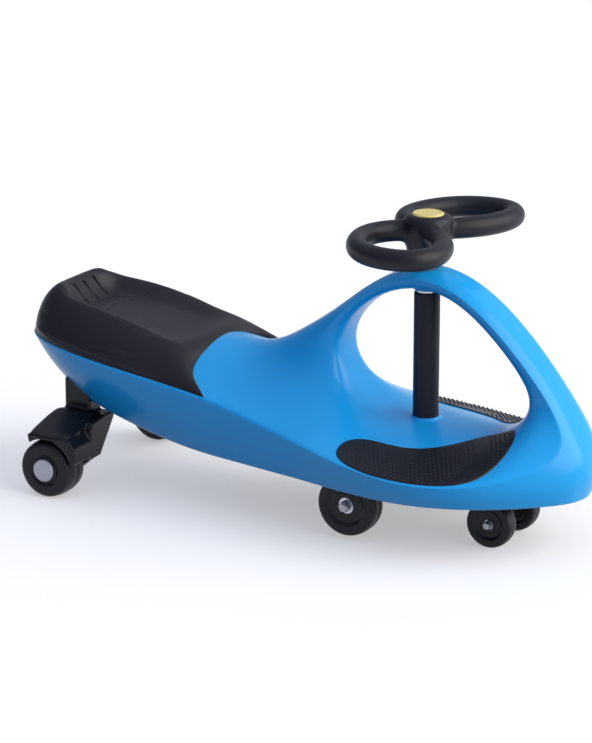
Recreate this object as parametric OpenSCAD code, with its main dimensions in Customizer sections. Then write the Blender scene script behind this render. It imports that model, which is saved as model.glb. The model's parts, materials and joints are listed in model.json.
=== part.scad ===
// Wiggle car: a ride-on toy steered and driven by swinging its steering wheel.
// X points forward, Y to the rider's left, Z up. The floor is Z = 0.

/* [Body] */
// Length that the body's stations are shares of
body_len = 800; // [600:1:1000]
// Width of the foot deck over its rim
body_w = 320; // [240:1:420]
// Height of the arch's crown above the base line of the body's stations
arch_h = 350; // [260:1:440]
// Height of that base line above the floor
base_z = -5; // [-20:0.5:40]
// Half width of the arch band
arch_half_w = 32; // [24:1:60]
// Width of the skirt's lower lip round the underbody cover
lip_w = 7; // [3:0.5:15]
// Wall left between the skirt lip and the hollow inside
wall = 11; // [4:0.5:20]
// Underside of the underbody cover above the floor
pan_z = 85; // [79:1:95]
// Thickness of the underbody cover
pan_t = 4; // [2:0.5:8]
// Height of the hollow under the foot deck
deck_hollow = 9; // [4:1:15]
// Height of the hollow under the seat
seat_hollow = 52; // [20:1:70]
// Depth of the cut that lets the underbody cover in
skirt_cut = 30; // [20:1:40]
// Distance of the seat hollow behind the steering shaft
seat_hollow_from = 130; // [100:1:180]
// Length of the seat hollow
seat_hollow_len = 150; // [80:1:180]
// Clear space round a side wheel in the underbody cover
well_gap = 2.5; // [1:0.5:5]

/* [Seat] */
// Height of the seat's crest above the body rim
seat_rise = 68; // [30:1:80]
// Depth of the dish in the middle of the seat
seat_dish = 16; // [4:1:30]
// Extra height of the backrest hump
hump_rise = 24; // [5:1:40]
// Depth of the seat's seating below the rim
seat_drop = 4; // [2:0.5:10]
// Width of the body lip left showing round the seat
seat_lip = 2.5; // [1:0.5:8]
// Spacing of the backrest grooves
groove_pitch = 26; // [15:1:40]
// Width of a backrest groove
groove_w = 5; // [3:0.5:10]
// Length of a backrest groove
groove_len = 24; // [12:1:40]
// Depth of a backrest groove
groove_depth = 4; // [1:0.5:8]
// Length of the seat's front horns
horn_len = 41; // [20:1:60]
// Lean of the backrest grooves in degrees
groove_lean = 32; // [0:1:60]
// Thickness of the body web that the seat screws clamp
seat_web = 12; // [6:1:20]
// Reach of a seat screw into the seat
seat_screw_len = 14; // [8:1:20]

/* [Foot pads] */
// Height of a foot pad above the deck
pad_proud = 1.6; // [0.5:0.1:4]
// Depth of a foot pad's seating in the deck
pad_sunk = 2.4; // [1:0.1:5]
// Height of the recess cut for a foot pad above the deck
deck_cut = 14; // [8:1:25]

/* [Steering] */
// Height of the middle of the steering wheel's grips
grip_z = 386; // [340:1:450]
// Width of the steering wheel over its two loops
grip_w = 308; // [240:1:360]
// Length of a grip loop, fore and aft, along the tube's middle
grip_len = 116; // [80:1:170]
// Distance of the loops' inner ends behind the shaft
grip_back = 19; // [0:1:40]
// Diameter of the grip tube
grip_d = 28; // [18:0.5:36]
// Diameter of the steering wheel's hub
hub_d = 56; // [40:1:80]
// Diameter of the hub's foot above the arch
hub_foot_d = 44; // [30:1:70]
// Clear space between the arch and the hub's foot
hub_gap = 5; // [2:0.5:15]
// Height of the hub above the middle of the grips
hub_top = 18; // [8:0.5:24]
// Diameter of the round cap in the hub
cap_d = 40; // [24:1:50]
// Height of the cap above the hub
cap_h = 6; // [2:0.5:12]
// Diameter of the steel steering shaft
shaft_d = 16; // [10:0.5:24]
// Outside diameter of the column sleeve
sleeve_d = 33; // [24:0.5:44]
// Outside diameter of the shaft bushes
bush_d = 24; // [20:0.5:34]
// Diameter of the bushes' flanges
bush_flange_d = 31; // [28:0.5:48]
// Thickness of the bushes' flanges
bush_flange_t = 3; // [1.5:0.5:6]
// Diameter of the body bosses round the bushes
boss_d = 38; // [34:1:60]
// Height of the deck boss's face above the floor
deck_face_z = 137; // [128:1:160]
// Height of the arch boss's face above the floor
arch_face_z = 312; // [280:1:325]
// Clear space round the sleeve's foot in the deck
sleeve_clear = 1; // [0.5:0.5:3]
// Height of the arch boss from its face into the arch
arch_boss_h = 16; // [8:1:20]
// Height of the deck boss from its face into the deck
deck_boss_h = 40; // [20:1:50]
// Length of the upper bush's barrel
upper_bush_len = 26; // [15:1:27]
// Length of the lower bush's barrel
lower_bush_len = 46; // [25:1:46]
// Bevel of the steering wheel hub's edge
hub_bevel = 4; // [1:0.5:8]
// Depth of the cap's seating in the hub
cap_sink = 4; // [2:0.5:8]
// Hub wall between the cap and the shaft's end
cap_floor = 3; // [1:0.5:8]
// Rounding of the cap's edge
cap_round = 3; // [1:0.5:5]

/* [Front wheels] */
// Distance of the front axle ahead of the steering shaft
lead = 112; // [70:1:150]
// Diameter of a front wheel
front_d = 62; // [46:1:80]
// Width of a front wheel
front_w = 22; // [14:1:36]
// Distance of a front wheel's middle from the centre line
front_y = 36; // [24:1:60]
// Diameter of the front axle
front_axle_d = 8; // [6:0.5:12]
// Width of the bracket arm
arm_w = 40; // [24:1:60]
// Height of the bracket arm
arm_h = 16; // [10:1:24]
// Clear space between the bracket and the underbody cover
arm_gap = 4; // [1:0.5:8]
// Rounding of a front tyre's shoulders
front_round = 8; // [2:0.5:11]
// Depth of a front hub's dished faces
front_dish = 6; // [2:0.5:8]
// Height of a front bearing's seat above the middle of the wheel
front_boss_z = 2; // [0:0.5:4]
// Outside diameter of a front bearing
front_bearing_d = 19; // [15:0.5:24]
// Width of a front bearing
front_bearing_t = 6; // [4:0.5:8]
// Width of a front nut across its flats
front_nut_w = 13; // [10:0.5:16]
// Thickness of a front nut
front_nut_t = 6.5; // [4:0.5:9]
// Height of the bracket's hub below its arm
hub_skirt = 10; // [4:1:20]
// Diameter of the front axle's housing
housing_d = 24; // [16:1:34]
// Distance of the bracket's web from the arm's sides
web_inset = 2; // [1:0.5:6]
// Reach of the bracket's web along the arm
arm_web = 34; // [16:1:60]
// Diameter of the bracket screw's head
bracket_head_d = 20; // [14:0.5:28]
// Height of the bracket screw's head
bracket_head_h = 5; // [3:0.5:8]
// Diameter of the bracket screw
bracket_screw_d = 8; // [6:0.5:10]
// Length of the bracket screw
bracket_screw_len = 22; // [12:1:40]

/* [Side wheels] */
// Distance of the side wheels behind the steering shaft
side_back = 56; // [30:1:120]
// Distance of a side wheel's middle from the centre line
side_y = 96; // [70:1:120]
// Diameter of a side wheel
side_d = 81; // [60:1:100]
// Width of a side wheel
side_w = 30; // [18:1:40]
// Height that the side wheels hang clear of the floor
side_lift = 6.5; // [2:0.5:15]
// Diameter of a side wheel's bolt
side_bolt_d = 10; // [6:0.5:14]
// Thickness of a side wheel bracket's cheek
cheek_t = 8; // [5:0.5:14]
// Rounding of a side tyre's shoulders
side_round = 9; // [2:0.5:14]
// Depth of a side hub's dished faces
side_dish = 6; // [2:0.5:8]
// Height of a side bearing's seat above the middle of the wheel
side_boss_z = 4; // [0:0.5:6]
// Outside diameter of a side bearing
side_bearing_d = 26; // [20:0.5:30]
// Width of a side bearing
side_bearing_t = 8; // [5:0.5:10]
// Width of a side nut across its flats
side_nut_w = 17; // [13:0.5:20]
// Thickness of a side nut
side_nut_t = 8; // [5:0.5:10]
// Height of a side bolt's head
side_head_t = 6.5; // [4:0.5:9]
// Height of the cheek's boss beside the wheel
cheek_boss = 2.6; // [1:0.1:6]
// Diameter of the cheek's boss
cheek_boss_d = 20; // [16:0.5:28]
// Diameter of the cheek round the bolt
cheek_d = 30; // [24:1:44]
// Thickness of the bracket's plate
side_plate_t = 5; // [3:0.5:8]
// Width of the bracket's plate beside the cheek
side_plate_w = 22; // [14:1:30]
// Length of the bracket's plate
side_plate_l = 64; // [50:1:90]
// Spacing of the bracket's screws
side_screw_pitch = 44; // [30:1:70]

/* [Rear wheels] */
// Distance of the rear axle behind the steering shaft
rear_back = 478; // [400:1:560]
// Distance of a rear wheel's middle from the centre line
rear_y = 136; // [110:1:170]
// Diameter of a rear wheel
rear_d = 77; // [60:1:100]
// Width of a rear wheel
rear_w = 42; // [24:1:60]
// Diameter of a rear axle pin
rear_axle_d = 12; // [8:0.5:18]
// Diameter of a rear hub cap
hub_cap_d = 30; // [20:1:44]
// Distance of a leg's post from the centre line
post_y = 70; // [50:1:90]
// Length of a leg's post, fore and aft
post_len = 38; // [24:1:60]
// Width of a leg's post
post_w = 28; // [18:1:44]
// Rounding of a rear tyre's shoulders
rear_round = 14; // [3:0.5:20]
// Depth of a rear hub's dished faces
rear_dish = 4; // [2:0.5:8]
// Width of a hub cap's rim
cap_rim = 3; // [1:0.5:5]
// Depth of a hub cap's plug
cap_plug = 3; // [2:0.5:4]
// Height of a hub cap above the hub
cap_dome = 3; // [1:0.5:5]
// Depth of the clip pocket in a rear hub
clip_pocket = 9; // [7:0.5:14]
// Diameter of an axle clip
clip_d = 20; // [15:0.5:22]
// Thickness of an axle clip
clip_t = 2; // [1:0.5:3]
// Diameter of a rear axle pin's head
pin_head_d = 20; // [15:0.5:28]
// Height of a rear axle pin's head
pin_head_t = 5; // [3:0.5:8]
// Distance of a leg's middle ahead of the rear axle
leg_lead = 6; // [0:1:20]
// Length of a leg's arm, fore and aft
leg_len = 64; // [44:1:90]
// Thickness of a leg's arm
leg_thick = 40; // [24:1:56]
// Reach of a leg's fender from the centre line
leg_reach = 162; // [140:1:190]
// Distance of a leg's lower block ahead of its arm
block_lead = 8; // [0:1:14]
// Base height of a leg's arm
fender_z = 79; // [76:1:95]
// Rise of a leg's arm above its base
leg_rise = 36; // [24:1:50]
// Diameter of a leg's axle boss
leg_boss_d = 44; // [30:1:60]
// Distance of the axle boss's inner face from the centre line
leg_in_y = 96; // [84:1:104]
// Height of the top of a leg's post
post_top = 145; // [125:1:160]
// Height where the post's pocket in the body begins
leg_pocket_z = 95; // [85:1:105]
// Height of a leg screw's seat
leg_screw_z = 87; // [81:1:99]
// Reach of a leg screw into the body
leg_screw_len = 16; // [8:1:24]

/* [Fasteners] */
// Diameter of a body screw
screw_d = 4.5; // [3:0.5:6]
// Diameter of a body screw's head
screw_head_d = 9; // [7:0.5:12]
// Height of a body screw's head
screw_head_h = 3; // [2:0.5:5]
// Length of a cover screw
cover_screw_len = 14; // [8:1:20]
// Length of an axle's tip past its nut or clip
axle_tip = 2; // [1:0.5:4]
// Wall round a bearing or cap pocket in a wheel hub
hub_wall = 3; // [2:0.5:5]

/* [Fits] */
// Radial clearance of a running fit
run_fit = 0.05; // [0.01:0.01:0.1]
// Clear space between moving faces
gap = 0.35; // [0.3:0.05:1]
// Clearance of a seated piece in its pocket
seat_fit = 0.15; // [0.05:0.05:0.4]
// Overrun of a cut past the face that it opens
over = 1; // [0.5:0.5:5]
// Radial clearance of a wheel hub round its axle beside the bearing
hub_clear = 0.5; // [0.3:0.1:1]
// Depth of a bearing's seal below its rings
bearing_dip = 0.8; // [0.3:0.1:1.5]
// Width of a bearing's rings
bearing_race = 2.2; // [1.5:0.1:3]

/* [Hidden] */
blue = "#2f8fd6";
black = "#22232b";
silver = "#b4b6ba";
steel = "#8f9297";
yellow = "#dfcd78";

// Place of the steering shaft ahead of the middle of the car, as a share of the body length
axis_share = 0.20768;
axis_x = axis_share * body_len;
// Height of the arch's crown as a share of the arch height
crown_share = 0.984;
// Size of a screw's drive as a share of its shank
drive_share = 0.6;
// Rim diameters as shares of the wheel diameters
front_rim_share = 0.72;
side_rim_share = 0.70;
rear_rim_share = 0.62;
// How far the loops sweep forward for each length outward
grip_sweep_share = 0.27;
// Place of the backrest grooves and of the seat screws along and across the seat
groove_place = 0.43;
// How much longer the seat's recess is than the seat
cut_share = 1.001;
seat_screw_share = [0.45, 0.80, 0.35];
front_r = front_d / 2;
side_r = side_d / 2;
rear_r = rear_d / 2;
side_z = side_r + side_lift;
// Hull stations as shares of body length, half deck width and arch height:
// x, top z, root y, root z, rim y, rim z, bilge y, bilge z, sole y, sole z, keel z
hull_shares = [
  [-0.707, 0.560, 0.12, 0.560, 0.28, 0.575, 0.24, 0.515, 0.15, 0.455, 0.445],
  [-0.668, 0.560, 0.30, 0.560, 0.59, 0.580, 0.52, 0.500, 0.34, 0.405, 0.390],
  [-0.565, 0.540, 0.44, 0.540, 0.76, 0.555, 0.70, 0.450, 0.52, 0.335, 0.318],
  [-0.390, 0.645, 0.40, 0.605, 0.78, 0.505, 0.73, 0.376, 0.60, 0.243, 0.235],
  [-0.290, 0.600, 0.17, 0.580, 0.78, 0.470, 0.74, 0.350, 0.65, 0.233, 0.226],
  [-0.240, 0.600, 0.30, 0.550, 0.79, 0.435, 0.76, 0.328, 0.69, 0.231, 0.225],
  [-0.188, 0.600, 0.36, 0.525, 0.81, 0.405, 0.79, 0.312, 0.73, 0.229, 0.223],
  [-0.135, 0.600, 0.38, 0.490, 0.86, 0.380, 0.83, 0.300, 0.77, 0.227, 0.221],
  [-0.080, 0.425, 0.34, 0.435, 0.94, 0.358, 0.90, 0.290, 0.83, 0.225, 0.220],
  [ 0.010, 0.420, 0.30, 0.418, 1.01, 0.330, 0.97, 0.280, 0.90, 0.225, 0.220],
  [ 0.085, 0.420, 0.30, 0.412, 0.98, 0.315, 0.95, 0.272, 0.88, 0.225, 0.220],
  [ 0.180, 0.425, 0.29, 0.412, 0.79, 0.325, 0.77, 0.275, 0.70, 0.225, 0.220],
  [ 0.272, 0.400, 0.25, 0.400, 0.31, 0.385, 0.36, 0.300, 0.28, 0.225, 0.220],
  [ 0.280, 0.378, 0.09, 0.385, 0.18, 0.385, 0.20, 0.300, 0.12, 0.225, 0.220]
];
// How far the nose's middle stands ahead of the last station, at top, root, rim, bilge, sole, keel
nose_bow_share = [0.008, 0.007, 0.004, 0.006, -0.002, 0.003];
// How far the tail's underside lies ahead of its rim, at the same six lines
tail_bow_share = [0, 0, 0, 0.018, 0.040, 0.045];
// How far the deck's middle lies behind its rim where the nose begins
nose_fold_share = -0.034;
// Nose face between bilge lines: height and reach of its middle and root columns
nose_face_share = [0.300, 0.013, 0.012];
// Arch rings: outer x, outer z, inner x, inner z, width factor, depth of the edge line
arch_shares = [
  [-0.222, 0.690, -0.128, 0.540, 1.25, 0.36],
  [-0.150, 0.800, -0.152, 0.700, 1.00, 0.36],
  [-0.070, 0.953, -0.085, 0.870, 0.98, 0.36],
  [ 0.005, 1.003,  0.000, 0.930, 1.00, 0.36],
  [ 0.085, 0.945,  0.070, 0.885, 1.00, 0.36],
  [ 0.155, 0.815,  0.130, 0.770, 1.02, 0.34],
  [ 0.2165, 0.655,  0.183, 0.635, 1.00, 0.28],
  [ 0.261, 0.500,  0.197, 0.520, 1.02, 0.10]
];
// Arch section from outer middle to inner middle: depth share and width share
section_shares = [[0, 0], [0.16, 0.62], [0.6, 0.86], [1, 1], [0.5, 0.97], [0.97, 0.78], [1.03, 0]];

ring = 10;
first_root = 4;
last_root = 8;
first_nose = 11;
last_nose = 13;
hull_n = len(hull_shares);
arch_n = len(arch_shares);
arch_ring = 12;

function pt(x, y, z) = [x * body_len, y * body_w / 2, base_z + z * arch_h];
// Fore and aft shift of line k at station i of the hull
function bow(i, k) = i < 2 ? tail_bow_share[k] / (i + 1) :
  i == last_nose ? nose_bow_share[k] :
  i == first_nose && k < 2 ? nose_fold_share : 0;
function hull_half(i, s) = let (h = hull_shares[i]) [
  pt(h[0] + bow(i, 0), 0, h[1]),
  pt(h[0] + bow(i, 1), s * h[2], h[3]),
  pt(h[0] + bow(i, 2), s * h[4], h[5]),
  pt(h[0] + bow(i, 3), s * h[6], h[7]),
  pt(h[0] + bow(i, 4), s * h[8], h[9]),
  pt(h[0] + bow(i, 5), 0, h[10])
];
function hull_ring(i) = let (r = hull_half(i, -1), l = hull_half(i, 1))
  [r[0], r[1], r[2], r[3], r[4], r[5], l[4], l[3], l[2], l[1]];
function arch_point(i, k, s) = let (
    a = arch_shares[i],
    d = k < 4 ? section_shares[k][0] * a[5] : a[5] + (1 - a[5]) * section_shares[k][0],
    o = pt(a[0], 0, a[1]),
    n = pt(a[2], 0, a[3]),
    m = o + (n - o) * d
  ) [m[0], s * section_shares[k][1] * a[4] * arch_half_w, m[2]];
function arch_ring_points(i) = concat(
  [for (k = [0:6]) arch_point(i, k, -1)],
  [for (k = [5:-1:1]) arch_point(i, k, 1)]
);
nose_x = hull_shares[last_nose][0];
nose_face = [
  pt(nose_x + nose_face_share[1], 0, nose_face_share[0]),
  pt(nose_x + nose_face_share[2], -hull_shares[last_nose][2], nose_face_share[0]),
  pt(nose_x + nose_face_share[2], hull_shares[last_nose][2], nose_face_share[0])
];
cage_points = concat(
  [for (i = [0:hull_n - 1]) each hull_ring(i)],
  [for (i = [0:arch_n - 1]) each arch_ring_points(i)],
  nose_face
);
arch_0 = hull_n * ring;
face_0 = arch_0 + arch_n * arch_ring;
// Number of point k on hull station i
function h(i, k) = i * ring + k;
// Openings in the deck that the arch grows from, behind and ahead of the steering shaft
rear_loop = concat([h(first_root, 0)], [for (i = [first_root:last_root]) h(i, 1)], [h(last_root, 0)],
  [for (i = [last_root:-1:first_root]) h(i, 9)]);
nose_loop = [h(13, 0), h(13, 1), h(13, 2), h(12, 2), h(11, 2), h(11, 1),
  h(11, 0), h(11, 9), h(11, 8), h(12, 8), h(13, 8), h(13, 9)];
arch_loops = [for (i = [0:arch_n - 1]) [for (k = [0:arch_ring - 1]) arch_0 + i * arch_ring + k]];
loops = concat([rear_loop], arch_loops, [nose_loop]);
function open_quad(i, k) =
  (i >= first_root && i < last_root && (k == 0 || k == 9)) ||
  (i >= first_nose && (k == 0 || k == 1 || k == 8 || k == 9));
hull_faces = [for (i = [0:hull_n - 2]) for (k = [0:ring - 1]) if (!open_quad(i, k))
  [h(i, k), h(i, (k + 1) % ring), h(i + 1, (k + 1) % ring), h(i + 1, k)]];
arch_faces = [for (i = [0:len(loops) - 2]) for (k = [0:arch_ring - 1])
  [loops[i][k], loops[i][(k + 1) % arch_ring], loops[i + 1][(k + 1) % arch_ring], loops[i + 1][k]]];
tail_faces = [
  [h(0, 0), h(0, 9), h(0, 1)],
  [h(0, 1), h(0, 9), h(0, 8), h(0, 2)],
  [h(0, 2), h(0, 8), h(0, 7), h(0, 3)],
  [h(0, 3), h(0, 7), h(0, 6), h(0, 4)],
  [h(0, 4), h(0, 6), h(0, 5)]
];
nose_faces = [
  [h(13, 2), h(13, 3), face_0 + 1, h(13, 1)],
  [h(13, 1), face_0 + 1, face_0, h(13, 0)],
  [h(13, 3), h(13, 4), h(13, 5), face_0, face_0 + 1],
  [h(13, 8), h(13, 9), face_0 + 2, h(13, 7)],
  [h(13, 9), h(13, 0), face_0, face_0 + 2],
  [h(13, 7), face_0 + 2, face_0, h(13, 5), h(13, 6)]
];
cage_faces = concat(hull_faces, arch_faces, tail_faces, nose_faces);
function chain(c) = [for (i = [0:len(c) - 2]) [c[i], c[i + 1]]];
rim_right = concat([for (i = [0:12]) h(i, 2)], [for (i = [arch_n - 1:-1:1]) arch_0 + i * arch_ring + 3]);
rim_left = concat([for (i = [0:12]) h(i, 8)], [for (i = [arch_n - 1:-1:1]) arch_0 + i * arch_ring + 9]);
creases = concat(
  chain(rim_right), chain(rim_left), [[h(0, 2), h(0, 8)]],
  chain([for (i = [1:13]) h(i, 4)]), chain([for (i = [1:13]) h(i, 6)]),
  [[h(13, 4), h(13, 5)], [h(13, 5), h(13, 6)]],
  chain([for (i = [1:arch_n - 2]) arch_0 + i * arch_ring + 1]),
  chain([for (i = [1:arch_n - 2]) arch_0 + i * arch_ring + 11])
);

// One round of corner cutting: every face becomes quads, every edge a rounder pair, creases stay sharp
function mean(v) = [for (i = [0:len(v) - 1]) 1] * v / len(v);
function round_cage(c) = let (
    p = c[0], f = c[1], s = c[2],
    n = len(p),
    fp = [for (q = f) mean([for (i = q) p[i]])],
    half = [for (j = [0:len(f) - 1]) for (k = [0:len(f[j]) - 1]) [f[j][k], f[j][(k + 1) % len(f[j])], j]],
    keys = [for (e = half) e[0] * n + e[1]],
    starts = [for (e = half) e[0]],
    edges = [for (e = half) if (e[0] < e[1]) e],
    edge_keys = [for (e = edges) e[0] * n + e[1]],
    sharp = [for (e = s) min(e) * n + max(e)],
    is_sharp = function (a, b) len(search(min(a, b) * n + max(a, b), sharp)) > 0,
    ep = [for (e = edges) let (m = (p[e[0]] + p[e[1]]) / 2)
      is_sharp(e[0], e[1]) ? m :
      m / 2 + (fp[e[2]] + fp[half[search(e[1] * n + e[0], keys)[0]][2]]) / 4],
    vp = [for (v = [0:n - 1]) let (
        out = search(v, starts, 0),
        m = len(out),
        hard = [for (o = out) if (is_sharp(v, half[o][1])) half[o][1]]
      ) m == 0 || len(hard) > 2 ? p[v] :
        len(hard) == 2 ? (6 * p[v] + p[hard[0]] + p[hard[1]]) / 8 :
        (mean([for (o = out) fp[half[o][2]]]) + mean([for (o = out) p[half[o][1]] + p[v]])
          + (m - 3) * p[v]) / m],
    edge_of = function (a, b) n + search(min(a, b) * n + max(a, b), edge_keys)[0],
    f_0 = n + len(edges)
  ) [
    concat(vp, ep, fp),
    [for (j = [0:len(f) - 1]) let (q = f[j], m = len(q)) for (k = [0:m - 1])
      [q[k], edge_of(q[k], q[(k + 1) % m]), f_0 + j, edge_of(q[(k + m - 1) % m], q[k])]],
    [for (e = s) let (x = edge_of(e[0], e[1])) each [[e[0], x], [x, e[1]]]]
  ];

cage = [cage_points, cage_faces, creases];
body_mesh = round_cage(round_cage(cage));

// Point of a uniform cubic curve led by the listed points; t counts them from zero
function blend4(c, u) = let (v = 1 - u)
  (v ^ 3 * c[0] + (3 * u ^ 3 - 6 * u ^ 2 + 4) * c[1] + (3 * v ^ 3 - 6 * v ^ 2 + 4) * c[2] + u ^ 3 * c[3]) / 6;
function curve_at(c, t) = let (i = min(max(floor(t), 1), len(c) - 3))
  blend4([c[i - 1], c[i], c[i + 1], c[i + 2]], t - i);
function closed_curve(c, steps) = let (n = len(c))
  [for (i = [0:n - 1]) for (k = [0:steps - 1]) blend4([for (j = [-1:2]) c[(i + j + n) % n]], k / steps)];
// Table column as a list with its ends repeated outward, for curve_at
function led(c) = concat([2 * c[0] - c[1]], c, [2 * c[len(c) - 1] - c[len(c) - 2]]);
// Closed skin between two grids of points with the same rows and columns
module slab(top, bottom) {
  r = len(top);
  c = len(top[0]);
  n = r * c;
  function at(i, j) = i * c + j;
  border = concat([for (j = [0:c - 1]) at(0, j)], [for (i = [1:r - 1]) at(i, c - 1)],
    [for (j = [c - 2:-1:0]) at(r - 1, j)], [for (i = [r - 2:-1:1]) at(i, 0)]);
  m = len(border);
  polyhedron(
    concat([for (row = top) each row], [for (row = bottom) each row]),
    concat(
      [for (i = [0:r - 2]) for (j = [0:c - 2])
        each [[at(i, j), at(i, j + 1), at(i + 1, j + 1)], [at(i, j), at(i + 1, j + 1), at(i + 1, j)]]],
      [for (i = [0:r - 2]) for (j = [0:c - 2])
        each [[n + at(i + 1, j + 1), n + at(i, j + 1), n + at(i, j)],
          [n + at(i + 1, j), n + at(i + 1, j + 1), n + at(i, j)]]],
      [for (k = [0:m - 1]) let (a = border[k], b = border[(k + 1) % m])
        each [[n + a, b, a], [n + a, n + b, b]]]
    )
  );
}
// Closed tube, or stack of rings closed at its ends; the rings run on from one to the next
module ring_stack(rings, closed) {
  r = len(rings);
  c = len(rings[0]);
  polyhedron(
    concat([for (g = rings) each g], [mean(rings[0]), mean(rings[r - 1])]),
    concat(
      [for (i = [0:r - (closed ? 1 : 2)]) for (j = [0:c - 1])
        let (a = i * c, b = ((i + 1) % r) * c, k = (j + 1) % c)
        each [[a + j, a + k, b + k], [a + j, b + k, b + j]]],
      closed ? [] : [for (j = [0:c - 1]) let (k = (j + 1) % c, e = (r - 1) * c)
        each [[r * c, k, j], [r * c + 1, e + j, e + k]]]
    )
  );
}

// The whole car is laid out from the foot of the steering shaft; this sets it about its own middle
module car() {
  translate([axis_x, 0, 0]) children();
}

// Seat
rim_line = concat([hull_half(1, 1)[2], hull_half(0, 1)[2]], [for (i = [0:first_nose]) hull_half(i, -1)[2]]);
function rim_at(t) = curve_at(rim_line, t);
// Stations of the rim between which the seat lies
seat_span = [1.56, 5.76];
seat_rows = 20;
seat_cols = 7;
// Along the seat from tail to horns: crest, dish and hump as shares of their heights
seat_shares = [[0.05, 0, 0], [0.40, 0, 0], [0.64, 0, 0.30], [0.68, 0, 1], [0.80, 0.8, 0.05], [0.97, 1.1, 0],
  [1.04, 1.1, 0], [0.92, 0.5, 0], [0.58, 0, 0]];
seat_led = led(seat_shares);
// How far out the seat's horns begin, its dish ends and its hump ends, as shares of the half width
seat_across_share = [0.46, 0.62, 0.85];
function seat_edge(u, lip) = let (
    t = seat_span[0] + (seat_span[1] - seat_span[0]) * u,
    p = rim_at(t),
    d = rim_at(t + 0.01) - p,
    l = norm([d[0], d[1]])
  ) p + lip * [-d[1], d[0], 0] / l;
function seat_xy(u, s, lip) = let (
    e = seat_edge(u, lip),
    near = max(0, (abs(s) - seat_across_share[0]) / (1 - seat_across_share[0])),
    ramp = max(0, (u - 0.5) * 2)
  ) [e[0] - horn_len * (1 - near ^ 3) * ramp ^ 1.5, -s * e[1], e[2]];
function seat_top(u, s) = let (
    v = curve_at(seat_led, 1 + u * (len(seat_shares) - 1)),
    edge = max(0, 1 - abs(s) ^ (4.8 - 2.2 * u)) ^ (0.5 + 0.2 * u),
    mid = max(0, 1 - (s / seat_across_share[1]) ^ 2),
    back = max(0, 1 - (s / seat_across_share[2]) ^ 4)
  ) seat_rise * v[0] * edge - seat_dish * v[1] * mid + hump_rise * v[2] * back;
seat_s = [for (j = [-seat_cols:seat_cols]) sin(90 * j / seat_cols)];
function seat_grid(lip, reach, z) = [for (i = [0:seat_rows]) let (u = reach * i / seat_rows) [for (s = seat_s)
  seat_xy(u, s, lip) + [0, 0, z(u, s)]]];

module seat() {
  color(black) car() difference() {
    slab(seat_grid(seat_lip, 1, function (u, s) seat_top(u, s)),
      seat_grid(seat_lip, 1, function (u, s) -seat_drop));
    for (k = [-1:1]) {
      let (g = seat_xy(groove_place, 0, seat_lip))
      translate([g[0], k * groove_pitch, g[2] + seat_top(groove_place, 0) - groove_depth])
        rotate([0, groove_lean, 0]) linear_extrude(groove_depth * 4) slot(groove_len, groove_w);
    }
    for (p = seat_screw_at) translate([p[0], p[1], p[2]]) screw_hole(seat_screw_len);
  }
}
module slot(l, w) {
  square([l - w, w], center = true);
  for (s = [-1, 1]) translate([s * (l - w) / 2, 0]) circle(d = w, $fn = 32);
}

// Foot pads
// Outline of the right pad as shares of the body length and of the half deck width
pad_shares = [[-0.0650, 0.912], [-0.0175, 0.978], [0.0312, 0.984], [0.0800, 0.950], [0.1275, 0.863],
  [0.1650, 0.744], [0.1862, 0.581], [0.1950, 0.400], [0.1875, 0.275], [0.1600, 0.244], [0.1300, 0.269],
  [0.1037, 0.338], [0.0750, 0.425], [0.0425, 0.506], [0.0050, 0.562], [-0.0300, 0.588],
  [-0.0600, 0.644], [-0.0737, 0.775]];
pad_line = closed_curve([for (q = pad_shares) [q[0] * body_len, -q[1] * body_w / 2]], 2);
pad_mid = mean(pad_line);
// The deck begins behind the shaft at this share of the body length and ends below this share of the arch
deck_reach_share = -0.12;
deck_top_share = 0.6;
// Upward faces of the deck on the right side, for setting the pads on it
deck_tris = [for (q = body_mesh[1]) each let (
    a = body_mesh[0][q[0]], b = body_mesh[0][q[1]], c = body_mesh[0][q[2]], d = body_mesh[0][q[3]]
  ) a[1] < 0 && a[0] > deck_reach_share * body_len && a[2] < deck_top_share * arch_h
    && cross(c - a, d - b)[2] > 0 ? [[a, b, c], [a, c, d]] : []];
function side_of(p, a, b) = (b[0] - a[0]) * (p[1] - a[1]) - (b[1] - a[1]) * (p[0] - a[0]);
function deck_z(p) = max([for (t = deck_tris) let (
    u = side_of(p, t[1], t[2]), v = side_of(p, t[2], t[0]), w = side_of(p, t[0], t[1]), n = u + v + w
  ) if (n != 0 && u / n >= -0.001 && v / n >= -0.001 && w / n >= -0.001)
    (u * t[0][2] + v * t[1][2] + w * t[2][2]) / n]);
function pad_ring(k, z, grow) = [for (p = pad_line) let (
    r = p - pad_mid,
    q = pad_mid + r * (k + grow / norm(r))
  ) [q[0], q[1], deck_z(pad_mid + r * min(k, 1)) + z]];
// Rings of a pad from the middle of its top out, over the edge and back to the middle of its underside
pad_top_share = [0.12, 0.5, 0.85, 0.97];
module pad() {
  ring_stack(concat(
    [for (k = pad_top_share) pad_ring(k, pad_proud, 0)],
    [pad_ring(1, pad_proud / 2, 0), pad_ring(1, -pad_sunk, 0)],
    [pad_ring(pad_top_share[1], -pad_sunk, 0), pad_ring(pad_top_share[0], -pad_sunk, 0)]
  ), false);
}
module pad_cut() {
  ring_stack([
    pad_ring(pad_top_share[0], deck_cut, 0), pad_ring(1, deck_cut, seat_fit),
    pad_ring(1, -pad_sunk - seat_fit, seat_fit),
    pad_ring(pad_top_share[1], -pad_sunk - seat_fit, 0), pad_ring(pad_top_share[0], -pad_sunk - seat_fit, 0)
  ], false);
}

module foot_pad_right() {
  color(black) car() pad();
}
module foot_pad_left() {
  color(black) car() mirror([0, 1, 0]) pad();
}

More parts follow.
